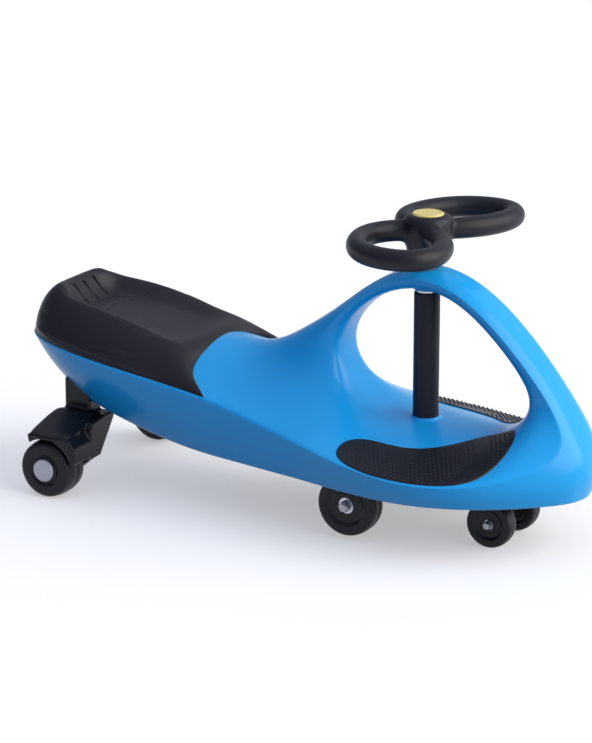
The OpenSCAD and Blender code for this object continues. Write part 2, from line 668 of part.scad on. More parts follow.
// Fasteners
// Plain screw: head below, shank up
module screw(head_d, head_h, d, l) {
  cylinder(d = d, h = l, $fn = 32);
  difference() {
    translate([0, 0, -head_h]) cylinder(d = head_d, h = head_h, $fn = 32);
    translate([0, 0, -head_h - over]) cylinder(d = d * drive_share, h = over + head_h / 2, $fn = 6);
  }
}
module screw_hole(l) {
  translate([0, 0, -over]) cylinder(d = screw_d + 2 * run_fit, h = l + over + gap, $fn = 32);
}
function sole_at(t) = curve_at(sole_line, t);
sole_line = concat([for (i = [1:last_nose]) hull_half(i, -1)[4]],
  [hull_half(last_nose, -1)[5], hull_half(last_nose, 1)[4]]);
// The cover's outline runs from this station of the sole line to the nose
cover_from = 2.45;
nose_end = 13;
function inset_point(t, d) = let (
    p = sole_at(t),
    g = sole_at(t + 0.01) - sole_at(t - 0.01),
    q = d * [-g[1], g[0]] / norm([g[0], g[1]])
  ) [p[0] + q[0], min(0, p[1] + q[1])];
outline_n = 36;
function cover_line(d) = let (
    start = inset_point(cover_from, d),
    half = concat([[start[0] + d, start[1]]],
      [for (k = [1:outline_n]) inset_point(cover_from + (nose_end - cover_from) * k / outline_n, d)])
  ) concat(half, [for (k = [outline_n - 1:-1:0]) [half[k][0], -half[k][1]]]);
// Stations of the cover screws along the sole line
cover_screw_t = [3, 5, 7, 9, 11, 12];
cover_screw_at = [for (t = cover_screw_t) let (p = inset_point(t, lip_w + wall / 2))
  for (s = [-1, 1]) [p[0], s * p[1]]];
leg_x = -rear_back + leg_lead;
cover_top = pan_z + pan_t;
seat_screw_at = [for (k = [0, 1]) for (s = [-1, 1])
  seat_xy(seat_screw_share[k], s * seat_screw_share[2], seat_lip) - [0, 0, seat_drop]];

module cover_screws() {
  color(steel) car() for (p = cover_screw_at) translate([p[0], p[1], pan_z])
    screw(screw_head_d, screw_head_h, screw_d, cover_screw_len);
}
module seat_screws() {
  color(steel) car() for (p = seat_screw_at) translate(p - [0, 0, seat_web])
    screw(screw_head_d, screw_head_h, screw_d, seat_web + seat_screw_len);
}
module leg_screws() {
  color(steel) car() for (s = [-1, 1]) translate([leg_x, s * post_y, leg_screw_z])
    screw(screw_head_d, screw_head_h, screw_d, post_top - leg_screw_z + leg_screw_len);
}
module side_screws() {
  color(steel) car() for (s = [-1, 1]) for (k = [-1, 1])
    translate([-side_back + k * side_screw_pitch / 2, s * side_screw_y, pan_z - side_plate_t])
      screw(screw_head_d, screw_head_h, screw_d, side_plate_t + pan_t + screw_head_h);
}

// Body
module body_skin() {
  polyhedron(body_mesh[0], [for (q = body_mesh[1]) each [[q[2], q[1], q[0]], [q[3], q[2], q[0]]]]);
}
module body_hollow() {
  translate([0, 0, pan_z - skirt_cut]) linear_extrude(skirt_cut + pan_t) polygon(cover_line(lip_w));
  translate([0, 0, cover_top - over]) linear_extrude(over + deck_hollow) difference() {
    polygon(cover_line(lip_w + wall));
    circle(d = boss_d, $fn = 64);
  }
  translate([0, 0, cover_top]) linear_extrude(seat_hollow) intersection() {
    polygon(cover_line(lip_w + 2 * wall));
    translate([-seat_hollow_from - seat_hollow_len, -body_w / 2]) square([seat_hollow_len, body_w]);
  }
}
module body_shell() {
  color(blue) car() difference() {
    union() {
      body_skin();
      translate([0, 0, arch_face_z]) cylinder(d = boss_d, h = arch_boss_h, $fn = 64);
      translate([0, 0, deck_face_z - deck_boss_h]) cylinder(d = boss_d, h = deck_boss_h, $fn = 64);
    }
    body_hollow();
    translate([0, 0, pan_z]) cylinder(d = bush_d + 2 * run_fit, h = deck_face_z - pan_z + over, $fn = 64);
    translate([0, 0, arch_face_z - over])
      cylinder(d = bush_d + 2 * run_fit, h = arch_h + base_z - arch_face_z + over, $fn = 64);
    slab(seat_grid(seat_lip - seat_fit, cut_share, function (u, s) seat_rise + hump_rise),
      seat_grid(seat_lip - seat_fit, cut_share, function (u, s) -seat_drop - seat_fit));
    translate([0, 0, deck_face_z]) cylinder(d = sleeve_d + 2 * sleeve_clear, h = deck_cut, $fn = 64);
    pad_cut();
    mirror([0, 1, 0]) pad_cut();
    for (s = [-1, 1]) translate([leg_x, s * post_y, 0]) {
      translate([0, 0, leg_pocket_z]) linear_extrude(post_top + gap - leg_pocket_z)
        square([post_len + 2 * seat_fit, post_w + 2 * seat_fit], center = true);
      translate([0, 0, post_top]) screw_hole(leg_screw_len);
    }
    for (p = cover_screw_at) translate([p[0], p[1], cover_top]) screw_hole(cover_screw_len - pan_t);
    for (p = seat_screw_at) translate(p - [0, 0, seat_web]) {
      screw_hole(seat_web + over);
      translate([0, 0, -p[2]]) cylinder(d = screw_head_d + 2 * gap, h = p[2], $fn = 32);
    }
  }
}
module underbody_cover() {
  color(black) car() translate([0, 0, pan_z]) linear_extrude(pan_t) difference() {
    polygon(cover_line(lip_w + seat_fit));
    circle(d = bush_d, $fn = 64);
    for (s = [-1, 1]) translate([-side_back, s * side_y])
      square([side_d + 2 * well_gap, side_w + 2 * well_gap], center = true);
    for (p = cover_screw_at) translate(p) circle(d = screw_d + 2 * run_fit, $fn = 32);
    for (s = [-1, 1]) for (k = [-1, 1]) translate([-side_back + k * side_screw_pitch / 2, s * side_screw_y])
      circle(d = screw_d + 2 * run_fit, $fn = 32);
  }
}
// Flanged bush: the flange's free face at zero, the barrel above it
module bush(l) {
  difference() {
    union() {
      cylinder(d = bush_flange_d, h = bush_flange_t, $fn = 64);
      translate([0, 0, bush_flange_t]) cylinder(d = bush_d, h = l, $fn = 64);
    }
    translate([0, 0, -over]) cylinder(d = shaft_d + 2 * run_fit, h = bush_flange_t + l + 2 * over, $fn = 64);
  }
}
module upper_bush() {
  color(silver) car() translate([0, 0, arch_face_z - bush_flange_t]) bush(upper_bush_len);
}
module lower_bush() {
  color(silver) car() translate([0, 0, deck_face_z + bush_flange_t]) mirror([0, 0, 1]) bush(lower_bush_len);
}

// Wheels stand on their side here: the axle along Z, the outer face up, the middle at zero
module tyre(d, w, rim_d, round_r) {
  rotate_extrude($fn = 96) intersection() {
    translate([rim_d / 2, -w / 2]) square([d / 2 - rim_d / 2, w]);
    union() {
      translate([0, -w / 2]) square([d / 2 - round_r, w]);
      translate([0, -w / 2 + round_r]) square([d / 2, w - 2 * round_r]);
      for (s = [-1, 1]) translate([d / 2 - round_r, s * (w / 2 - round_r)]) circle(r = round_r, $fn = 48);
    }
  }
}
// Hub with a dished outer face, a boss at the middle and a pocket of the given size in the boss
module hub(w, rim_d, bore_d, dish, boss_face, pocket_d, pocket_z) {
  difference() {
    translate([0, 0, -w / 2]) cylinder(d = rim_d, h = w, $fn = 96);
    translate([0, 0, -w / 2 - over]) cylinder(d = bore_d, h = w + 2 * over, $fn = 64);
    translate([0, 0, w / 2 - dish]) rotate_extrude($fn = 96)
      translate([pocket_d / 2 + hub_wall, 0]) square([rim_d / 2 - pocket_d / 2 - 2 * hub_wall, dish + over]);
    translate([0, 0, boss_face]) cylinder(d = pocket_d + 2 * hub_wall + over, h = w, $fn = 96);
    translate([0, 0, pocket_z]) cylinder(d = pocket_d, h = w, $fn = 64);
    translate([0, 0, -w / 2 - over]) rotate_extrude($fn = 96)
      translate([pocket_d / 2 + hub_wall, 0]) square([rim_d / 2 - pocket_d / 2 - 2 * hub_wall, dish + over]);
  }
}
module bearing(d, bore, t) {
  difference() {
    cylinder(d = d, h = t, $fn = 64);
    translate([0, 0, -over]) cylinder(d = bore + 2 * run_fit, h = t + 2 * over, $fn = 64);
    for (z = [-over, t - bearing_dip]) translate([0, 0, z]) rotate_extrude($fn = 64)
      translate([bore / 2 + bearing_race, 0])
        square([d / 2 - bore / 2 - 2 * bearing_race, over + bearing_dip]);
  }
}
module nut(flats, bore, t) {
  difference() {
    cylinder(d = flats / cos(30), h = t, $fn = 6);
    translate([0, 0, -over]) cylinder(d = bore, h = t + 2 * over, $fn = 64);
  }
}
// Stand a wheel up at its place; side is -1 for the right and 1 for the left
module place(x, y, z, side) {
  translate([x, side * y, z]) rotate([-90 * side, 0, 0]) children();
}

module front_at(side) {
  place(lead, front_y, front_r, side) children();
}
module front_tyre(side) {
  color(black) car() front_at(side) tyre(front_d, front_w, front_d * front_rim_share, front_round);
}
module front_tyre_right() {
  front_tyre(-1);
}
module front_tyre_left() {
  front_tyre(1);
}
module front_hub(side) {
  color(black) car() front_at(side)
    hub(front_w, front_d * front_rim_share, front_axle_d + 2 * hub_clear, front_dish,
      front_boss_z + front_bearing_t, front_bearing_d, front_boss_z);
}
module front_hub_right() {
  front_hub(-1);
}
module front_hub_left() {
  front_hub(1);
}
module front_bearing(side) {
  color(silver) car() front_at(side) translate([0, 0, front_boss_z])
    bearing(front_bearing_d, front_axle_d, front_bearing_t);
}
module front_bearing_right() {
  front_bearing(-1);
}
module front_bearing_left() {
  front_bearing(1);
}
front_nut_z = front_boss_z + front_bearing_t + gap;
module front_nuts() {
  color(steel) car() for (s = [-1, 1]) front_at(s) translate([0, 0, front_nut_z])
    nut(front_nut_w, front_axle_d, front_nut_t);
}
front_axle_half = front_y + front_nut_z + front_nut_t + axle_tip;
module front_axle() {
  color(steel) car() translate([lead, front_axle_half, front_r]) rotate([90, 0, 0])
    cylinder(d = front_axle_d, h = 2 * front_axle_half, $fn = 64);
}
arm_top = pan_z - arm_gap;
arm_low = arm_top - arm_h;
housing_half = front_y - front_w / 2 - gap;
web_h = arm_low + arm_h / 2 - front_r;
module front_bracket() {
  color(black) car() difference() {
    union() {
      translate([0, 0, arm_low - hub_skirt]) cylinder(d = arm_w, h = arm_h + hub_skirt, $fn = 64);
      translate([0, -arm_w / 2, arm_low]) cube([lead, arm_w, arm_h]);
      translate([lead, 0, arm_low]) cylinder(d = arm_w, h = arm_h, $fn = 64);
      translate([lead, housing_half, front_r]) rotate([90, 0, 0])
        cylinder(d = housing_d, h = 2 * housing_half, $fn = 64);
      translate([lead, arm_w / 2 - web_inset, front_r]) rotate([90, 0, 0])
        linear_extrude(arm_w - 2 * web_inset)
          polygon([[-housing_d / 2, 0], [housing_d / 2, 0], [housing_d / 2, web_h], [-arm_web, web_h]]);
    }
    translate([0, 0, arm_low - hub_skirt - over])
      cylinder(d = shaft_d, h = arm_h + hub_skirt + 2 * over, $fn = 64);
    translate([lead, housing_half + over, front_r]) rotate([90, 0, 0])
      cylinder(d = front_axle_d, h = 2 * housing_half + 2 * over, $fn = 64);
  }
}
shaft_low = arm_low - hub_skirt;
module bracket_screw() {
  color(steel) car() translate([0, 0, shaft_low])
    screw(bracket_head_d, bracket_head_h, bracket_screw_d, bracket_screw_len);
}
hub_low = base_z + crown_share * arch_h + hub_gap;
hub_high = grip_z + hub_top;
shaft_high = hub_high - cap_sink - cap_floor;
module steering_shaft() {
  color(steel) car() difference() {
    translate([0, 0, shaft_low]) cylinder(d = shaft_d, h = shaft_high - shaft_low, $fn = 64);
    translate([0, 0, shaft_low - over]) cylinder(d = bracket_screw_d, h = bracket_screw_len + over, $fn = 64);
  }
}
sleeve_low = deck_face_z + bush_flange_t + gap;
sleeve_high = arch_face_z - bush_flange_t - gap;
module column_sleeve() {
  color(black) car() difference() {
    translate([0, 0, sleeve_low]) cylinder(d = sleeve_d, h = sleeve_high - sleeve_low, $fn = 96);
    translate([0, 0, sleeve_low - over])
      cylinder(d = shaft_d, h = sleeve_high - sleeve_low + 2 * over, $fn = 64);
  }
}
// Middle line of a grip loop as shares of the loop's length and of the half width
grip_shares = [[0, 0.03], [0.30, 0.17], [0.52, 0.46], [0.47, 0.86], [0.20, 1.06],
  [-0.20, 1.06], [-0.47, 0.86], [-0.52, 0.46], [-0.30, 0.17]];
grip_line = closed_curve([for (q = grip_shares) let (y = q[1] * (grip_w - grip_d) / 2)
  [q[0] * grip_len + grip_sweep_share * y - grip_back, -y]], 4);
grip_sides = 12;
module grip_loop() {
  n = len(grip_line);
  ring_stack([for (i = [0:n - 1]) let (
      p = grip_line[i],
      g = grip_line[(i + 1) % n] - grip_line[(i + n - 1) % n],
      o = [g[1], -g[0]] / norm(g)
    ) [for (k = [0:grip_sides - 1]) let (a = 360 * k / grip_sides, c = grip_d / 2 * cos(a))
      [p[0] + o[0] * c, p[1] + o[1] * c, grip_z + grip_d / 2 * sin(a)]]], true);
}
module steering_wheel() {
  color(black) car() difference() {
    union() {
      grip_loop();
      mirror([0, 1, 0]) grip_loop();
      rotate_extrude($fn = 96) polygon([[0, hub_low], [hub_foot_d / 2, hub_low],
        [hub_d / 2, grip_z - grip_d / 2], [hub_d / 2, hub_high - hub_bevel],
        [hub_d / 2 - hub_bevel, hub_high], [0, hub_high]]);
    }
    translate([0, 0, hub_low - over]) cylinder(d = shaft_d, h = shaft_high - hub_low + over, $fn = 64);
    translate([0, 0, hub_high - cap_sink]) cylinder(d = cap_d, h = cap_sink + over, $fn = 96);
  }
}
module steering_cap() {
  color(yellow) car() translate([0, 0, hub_high - cap_sink]) rotate_extrude($fn = 96) {
    square([cap_d / 2, cap_sink + cap_h - cap_round]);
    square([cap_d / 2 - cap_round, cap_sink + cap_h]);
    translate([cap_d / 2 - cap_round, cap_sink + cap_h - cap_round]) circle(r = cap_round, $fn = 48);
  }
}

// Side wheels
module side_at(side) {
  place(-side_back, side_y, side_z, side) children();
}
module side_tyre(side) {
  color(black) car() side_at(side) tyre(side_d, side_w, side_d * side_rim_share, side_round);
}
module side_tyre_right() {
  side_tyre(-1);
}
module side_tyre_left() {
  side_tyre(1);
}
module side_hub(side) {
  color(black) car() side_at(side)
    hub(side_w, side_d * side_rim_share, side_bolt_d + 2 * hub_clear, side_dish,
      side_boss_z + side_bearing_t, side_bearing_d, side_boss_z);
}
module side_hub_right() {
  side_hub(-1);
}
module side_hub_left() {
  side_hub(1);
}
module side_bearing(side) {
  color(silver) car() side_at(side) translate([0, 0, side_boss_z])
    bearing(side_bearing_d, side_bolt_d, side_bearing_t);
}
module side_bearing_right() {
  side_bearing(-1);
}
module side_bearing_left() {
  side_bearing(1);
}
side_nut_z = side_boss_z + side_bearing_t + gap;
module side_nut(side) {
  color(steel) car() side_at(side) translate([0, 0, side_nut_z]) nut(side_nut_w, side_bolt_d, side_nut_t);
}
module side_nut_right() {
  side_nut(-1);
}
module side_nut_left() {
  side_nut(1);
}
// Faces of the bracket's cheek, from the middle of the wheel
cheek_face = -side_w / 2 - gap;
cheek_out = cheek_face - cheek_boss;
cheek_in = cheek_out - cheek_t;
module side_bolt(side) {
  color(steel) car() side_at(side) {
    translate([0, 0, cheek_in])
      cylinder(d = side_bolt_d, h = side_nut_z + side_nut_t + axle_tip - cheek_in, $fn = 64);
    translate([0, 0, cheek_in - side_head_t]) cylinder(d = side_nut_w / cos(30), h = side_head_t, $fn = 6);
  }
}
module side_bolt_right() {
  side_bolt(-1);
}
module side_bolt_left() {
  side_bolt(1);
}
side_screw_y = side_y + cheek_in - side_plate_w / 2;
module side_bracket(side) {
  plate_z = pan_z - side_plate_t;
  cheek_y = side > 0 ? side_y + cheek_in : -side_y - cheek_out;
  plate_y = side > 0 ? cheek_y - side_plate_w : cheek_y;
  color(black) car() difference() {
    union() {
      side_at(side) {
        translate([0, 0, cheek_in]) cylinder(d = cheek_d, h = cheek_t, $fn = 64);
        translate([0, 0, cheek_out]) cylinder(d = cheek_boss_d, h = cheek_boss, $fn = 64);
      }
      translate([-side_back - cheek_d / 2, cheek_y, side_z]) cube([cheek_d, cheek_t, pan_z - side_z]);
      translate([-side_back - side_plate_l / 2, plate_y, plate_z])
        cube([side_plate_l, side_plate_w + cheek_t, side_plate_t]);
    }
    side_at(side) translate([0, 0, cheek_in - over])
      cylinder(d = side_bolt_d + 2 * run_fit, h = cheek_t + cheek_boss + 2 * over, $fn = 64);
    for (k = [-1, 1]) translate([-side_back + k * side_screw_pitch / 2, side * side_screw_y, plate_z])
      screw_hole(side_plate_t);
  }
}
module side_bracket_right() {
  side_bracket(-1);
}
module side_bracket_left() {
  side_bracket(1);
}

// Rear wheels and legs
module rear_at(side) {
  place(-rear_back, rear_y, rear_r, side) children();
}
module rear_tyre(side) {
  color(black) car() rear_at(side) tyre(rear_d, rear_w, rear_d * rear_rim_share, rear_round);
}
module rear_tyre_right() {
  rear_tyre(-1);
}
module rear_tyre_left() {
  rear_tyre(1);
}
module rear_hub(side) {
  color(black) car() rear_at(side)
    hub(rear_w, rear_d * rear_rim_share, rear_axle_d + 2 * run_fit, rear_dish,
      rear_w / 2, hub_cap_d - 2 * cap_rim, rear_w / 2 - clip_pocket);
}
module rear_hub_right() {
  rear_hub(-1);
}
module rear_hub_left() {
  rear_hub(1);
}
module hub_cap(side) {
  color(silver) car() rear_at(side) {
    translate([0, 0, rear_w / 2 - cap_plug]) cylinder(d = hub_cap_d - 2 * cap_rim, h = cap_plug, $fn = 96);
    translate([0, 0, rear_w / 2]) rotate_extrude($fn = 96) {
      square([hub_cap_d / 2 - cap_rim, cap_dome]);
      intersection() {
        translate([hub_cap_d / 2 - cap_rim, 0]) circle(r = cap_rim, $fn = 48);
        square([hub_cap_d / 2, cap_dome]);
      }
    }
  }
}
module hub_cap_right() {
  hub_cap(-1);
}
module hub_cap_left() {
  hub_cap(1);
}
clip_z = rear_w / 2 - clip_pocket + gap;
pin_end = clip_z + clip_t + axle_tip;
module axle_clips() {
  color(steel) car() for (s = [-1, 1]) rear_at(s) translate([0, 0, clip_z]) difference() {
    cylinder(d = clip_d, h = clip_t, $fn = 64);
    translate([0, 0, -over]) cylinder(d = rear_axle_d, h = clip_t + 2 * over, $fn = 64);
  }
}
module rear_pin(side) {
  color(steel) car() rear_at(side) {
    translate([0, 0, leg_in_y - rear_y]) cylinder(d = rear_axle_d, h = pin_end - leg_in_y + rear_y, $fn = 64);
    translate([0, 0, leg_in_y - rear_y - pin_head_t]) cylinder(d = pin_head_d, h = pin_head_t, $fn = 64);
  }
}
module rear_pin_right() {
  rear_pin(-1);
}
module rear_pin_left() {
  rear_pin(1);
}
// Stations of a leg's arm from the post outward: reach and height as shares of the arm's reach and rise,
// half length and half thickness as shares of the arm's length and thickness, lean of the section
arm_shares = [[0.00, 0.72, 0.32, 0.40, 0], [0.04, 0.52, 0.37, 0.50, 22], [0.20, 0.40, 0.44, 0.50, 58],
  [0.46, 0.33, 0.50, 0.29, 82], [0.74, 0.22, 0.50, 0.18, 98], [1.00, 0.12, 0.47, 0.11, 100]];
arm_corner_shares = [[1, 0.5], [0.72, 1], [-0.72, 1], [-1, 0.5],
  [-1, -0.5], [-0.72, -1], [0.72, -1], [1, -0.5]];
leg_face_y = rear_y - rear_w / 2 - gap;
function leg_ring(q) = let (
    y = post_y + (leg_reach - post_y) * q[0],
    z = fender_z + leg_rise * q[1]
  ) [for (c = arm_corner_shares) let (d = c[1] * q[3] * leg_thick)
    [leg_x + c[0] * q[2] * leg_len, -(y + d * cos(q[4])), z + d * sin(q[4])]];
leg_cage = let (n = len(arm_shares), c = len(arm_corner_shares)) [
  [for (q = arm_shares) each leg_ring(q)],
  concat(
    [for (i = [0:n - 2]) for (j = [0:c - 1]) let (k = (j + 1) % c)
      [i * c + j, i * c + k, (i + 1) * c + k, (i + 1) * c + j]],
    [[for (j = [c - 1:-1:0]) j], [for (j = [0:c - 1]) (n - 1) * c + j]]
  ), []];
leg_mesh = round_cage(leg_cage);
// Edges of the lower block, from the axle
block_front = leg_lead + leg_len / 2 + block_lead;
block_rear = leg_lead - leg_len / 2;
block_high = fender_z + leg_rise / 3 - rear_r;
module leg() {
  difference() {
    union() {
      polyhedron(leg_mesh[0], [for (q = leg_mesh[1]) each [[q[2], q[1], q[0]], [q[3], q[2], q[0]]]]);
      translate([leg_x, -post_y, fender_z + leg_rise / 2]) linear_extrude(post_top - fender_z - leg_rise / 2)
        square([post_len, post_w], center = true);
      translate([-rear_back, -leg_in_y, rear_r]) rotate([90, 0, 0]) {
        cylinder(d = leg_boss_d, h = leg_face_y - leg_in_y, $fn = 96);
        linear_extrude(leg_face_y - leg_in_y) polygon([
          [-leg_boss_d / 2, 0], leg_boss_d / 2 * [cos(60), -sin(60)],
          [block_front, leg_boss_d / 4], [block_front, block_high], [block_rear, block_high],
          [block_rear, fender_z - rear_r]]);
      }
    }
    translate([-rear_back, -leg_in_y + over, rear_r]) rotate([90, 0, 0])
      cylinder(d = rear_axle_d + 2 * run_fit, h = leg_face_y - leg_in_y + 2 * over, $fn = 64);
    translate([leg_x, -post_y, leg_screw_z]) screw_hole(post_top - leg_screw_z);
    translate([leg_x, -post_y, 0]) cylinder(d = screw_head_d + 2 * gap, h = leg_screw_z, $fn = 32);
  }
}
module leg_right() {
  color(black) car() leg();
}
module leg_left() {
  color(black) car() mirror([0, 1, 0]) leg();
}

body_shell();
underbody_cover();
seat();
foot_pad_right();
foot_pad_left();
upper_bush();
lower_bush();
leg_right();
leg_left();
rear_pin_right();
rear_pin_left();
axle_clips();
rear_tyre_right();
rear_tyre_left();
rear_hub_right();
rear_hub_left();
hub_cap_right();
hub_cap_left();
side_bracket_right();
side_bracket_left();
side_bolt_right();
side_bolt_left();
side_tyre_right();
side_tyre_left();
side_hub_right();
side_hub_left();
side_bearing_right();
side_bearing_left();
side_nut_right();
side_nut_left();
steering_wheel();
steering_cap();
steering_shaft();
column_sleeve();
front_bracket();
bracket_screw();
front_axle();
front_nuts();
front_tyre_right();
front_tyre_left();
front_hub_right();
front_hub_left();
front_bearing_right();
front_bearing_left();
cover_screws();
leg_screws();
seat_screws();
side_screws();
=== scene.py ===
"""Wiggle car: smooth mouldings, turned wheels, finishes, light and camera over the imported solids."""

import json
import logging
import math
from dataclasses import dataclass, field
from enum import Enum
from typing import Any, Callable, Dict, List, Optional, Sequence, Tuple

import bpy
import numpy as np
from mathutils import Matrix, Vector
from mathutils.bvhtree import BVHTree


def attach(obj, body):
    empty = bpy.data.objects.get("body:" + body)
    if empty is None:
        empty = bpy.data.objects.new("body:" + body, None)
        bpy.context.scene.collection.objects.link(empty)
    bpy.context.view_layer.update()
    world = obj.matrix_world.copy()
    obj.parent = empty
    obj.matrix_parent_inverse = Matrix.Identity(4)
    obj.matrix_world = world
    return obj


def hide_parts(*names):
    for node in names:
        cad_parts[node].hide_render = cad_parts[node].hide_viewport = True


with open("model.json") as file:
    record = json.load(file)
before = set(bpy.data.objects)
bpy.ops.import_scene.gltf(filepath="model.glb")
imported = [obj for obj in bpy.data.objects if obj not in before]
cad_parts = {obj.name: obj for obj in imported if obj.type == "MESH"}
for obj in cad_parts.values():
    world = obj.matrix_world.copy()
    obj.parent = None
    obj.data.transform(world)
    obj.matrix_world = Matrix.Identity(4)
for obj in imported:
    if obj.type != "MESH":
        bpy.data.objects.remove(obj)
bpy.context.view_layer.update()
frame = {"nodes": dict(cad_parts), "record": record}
LOG = logging.getLogger("wiggle_car")

MM = 0.001
AXIS_X = 166.144
WELD = 1e-6
# Height in metres above the whole car, and a small step along a curve
SKY = 0.4
NUDGE = 0.01
DOWN = Vector((0.0, 0.0, -1.0))

Point = Tuple[float, float, float]
Profile = List[Tuple[float, float]]
Corner = Tuple[float, float, float]
Colour = Tuple[float, float, float, float]
Piece = bpy.types.Object
Node = bpy.types.Node
Tree = bpy.types.NodeTree
Socket = bpy.types.NodeSocket


class Side(Enum):
    """The rider's two sides; the value is the sign of Y there."""

    RIGHT = -1
    LEFT = 1

    @property
    def word(self) -> str:
        """The side's name as the node names end with it."""
        return self.name.lower()


class Rig(Enum):
    """Bodies that more than one class rides on."""

    CHASSIS = "chassis"
    STEERING = "steering"


class Axle(Enum):
    """The direction that a turned piece spins about."""

    ACROSS = (0.0, 1.0, 0.0)
    UPRIGHT = (0.0, 0.0, 1.0)


# Colours and shader nodes


def linear(code: str) -> Colour:
    """Turns an sRGB hex colour into linear values.

    Args:
        code: Six hex digits after a hash sign.

    Returns:
        Red, green, blue and alpha, linear.
    """
    values = [int(code[i : i + 2], 16) / 255 for i in (1, 3, 5)]
    lit = [v / 12.92 if v <= 0.04045 else ((v + 0.055) / 1.055) ** 2.4 for v in values]
    return (lit[0], lit[1], lit[2], 1.0)


def add_node(
    tree: Tree,
    kind: str,
    settings: Optional[Dict[Any, Any]] = None,
    links: Optional[Dict[Any, Socket]] = None,
) -> Node:
    """Adds a shader node with its settings and links.

    Args:
        tree: The material's or world's node tree.
        kind: The node's type name.
        settings: Property names, or input names and numbers, with their values.
        links: Input names or numbers with the outputs that feed them.

    Returns:
        The new node.
    """
    made = tree.nodes.new(kind)
    for key, value in (settings or {}).items():
        if isinstance(key, str) and hasattr(made, key):
            setattr(made, key, value)
        else:
            made.inputs[key].default_value = value
    for key, socket in (links or {}).items():
        tree.links.new(socket, made.inputs[key])
    return made


def blank_material(name: str) -> Tuple[bpy.types.Material, Tree, Socket]:
    """Makes a material with only an output and object coordinates.

    Args:
        name: The material's name.

    Returns:
        The material, its node tree and the object coordinate output.
    """
    made = bpy.data.materials.new(name)
    made.use_nodes = True
    made.node_tree.nodes.clear()
    place = add_node(made.node_tree, "ShaderNodeTexCoord").outputs["Object"]
    return made, made.node_tree, place


def speckle(tree: Tree, place: Socket, size_mm: float, detail: float, rough: float = 0.5) -> Socket:
    """Adds a noise of a given grain size.

    Args:
        tree: The material's node tree.
        place: The coordinates that it follows.
        size_mm: Size of its spots.
        detail: Number of its finer layers.
        rough: Strength of the finer layers.

    Returns:
        The noise's value.
    """
    settings = {"Scale": 1000 / size_mm, "Detail": detail, "Roughness": rough}
    return add_node(tree, "ShaderNodeTexNoise", settings, {"Vector": place}).outputs["Fac"]


def mixed(tree: Tree, first: Colour, second: Colour, share: Socket) -> Socket:
    """Adds a blend of two colours by a share and gives its colour."""
    settings = {"data_type": "RGBA", 6: first, 7: second}
    return add_node(tree, "ShaderNodeMix", settings, {0: share}).outputs[2]


@dataclass(frozen=True)
class Finish:
    """A surface whose colour and gloss stray a little and that has a fine relief."""

    name: str
    colour: str
    shade: str
    roughness: float

    def material(self) -> bpy.types.Material:
        """Makes the material once and gives it back after that."""
        if self.name in bpy.data.materials:
            return bpy.data.materials[self.name]
        made, tree, place = blank_material(self.name)
        shader = self.shader(tree, place)
        add_node(tree, "ShaderNodeOutputMaterial", {}, {"Surface": shader.outputs[0]})
        return made

    def shader(self, tree: Tree, place: Socket) -> Node:
        """Adds the finish's shader."""
        raise NotImplementedError

    def surface(
        self, tree: Tree, spots: Socket, spread: float, relief: Node, settings: Dict[str, float]
    ) -> Node:
        """Adds the shader with its mottled colour, uneven gloss and relief.

        Args:
            tree: The material's node tree.
            spots: The noise that colour and gloss follow.
            spread: How far the roughness strays.
            relief: The bump node.
            settings: The shader's other inputs.

        Returns:
            The shader node.
        """
        tint = mixed(tree, linear(self.colour), linear(self.shade), spots)
        limits = {3: self.roughness - spread, 4: self.roughness + spread}
        gloss = add_node(tree, "ShaderNodeMapRange", limits, {0: spots})
        links = {"Base Color": tint, "Roughness": gloss.outputs[0], "Normal": relief.outputs[0]}
        return add_node(tree, "ShaderNodeBsdfPrincipled", settings, links)


@dataclass(frozen=True)
class Moulded(Finish):
    """An injection-moulded plastic with its mottling, flow sheen and mould grain."""

    spread: float
    grain_mm: float
    grain_depth_mm: float
    cloud_mm: float
    level: float
    bump: float
    ior: float = 1.49

    def shader(self, tree: Tree, place: Socket) -> Node:
        """Adds the plastic's shader."""
        cloud = speckle(tree, place, self.cloud_mm, 3.0, 0.55)
        grain = speckle(tree, place, self.grain_mm, 2.0, 0.6)
        depth = {"Strength": self.bump, "Distance": self.grain_depth_mm * MM}
        relief = add_node(tree, "ShaderNodeBump", depth, {"Height": grain})
        shine = {"IOR": self.ior, "Specular IOR Level": self.level}
        return self.surface(tree, cloud, self.spread, relief, shine)


@dataclass(frozen=True)
class Plated(Finish):
    """A plated or metallic-painted surface with fine turning or brushing marks."""

    metallic: float
    mark_mm: float
    stretch: Point
    uneven: float = 0.25
    bump: float = 0.15
    mark_depth_mm: float = 0.05

    def shader(self, tree: Tree, place: Socket) -> Node:
        """Adds the metal's shader."""
        along = add_node(tree, "ShaderNodeMapping", {"Scale": self.stretch}, {"Vector": place})
        marks = speckle(tree, along.outputs[0], self.mark_mm, 2.0)
        depth = {"Strength": self.bump, "Distance": self.mark_depth_mm * MM}
        relief = add_node(tree, "ShaderNodeBump", depth, {"Height": marks})
        return self.surface(tree, marks, self.roughness * self.uneven, relief, {"Metallic": self.metallic})


# Glossy polypropylene out of a polished mould: strong even blue, broad highlights, a trace of orange peel
BLUE_PP = Moulded(
    "moulded_blue_polypropylene", "#1AA0E2", "#189ADC", roughness=0.26, spread=0.03,
    grain_mm=2.4, grain_depth_mm=0.05, cloud_mm=90.0, level=0.30, bump=0.10,
)
# Black polypropylene from a spark-eroded mould: charcoal with a satin sheen and fine even grain
SEAT_PP = Moulded(
    "moulded_black_seat_polypropylene", "#17171D", "#131319", roughness=0.40, spread=0.04,
    grain_mm=0.9, grain_depth_mm=0.06, cloud_mm=60.0, level=0.31, bump=0.25,
)
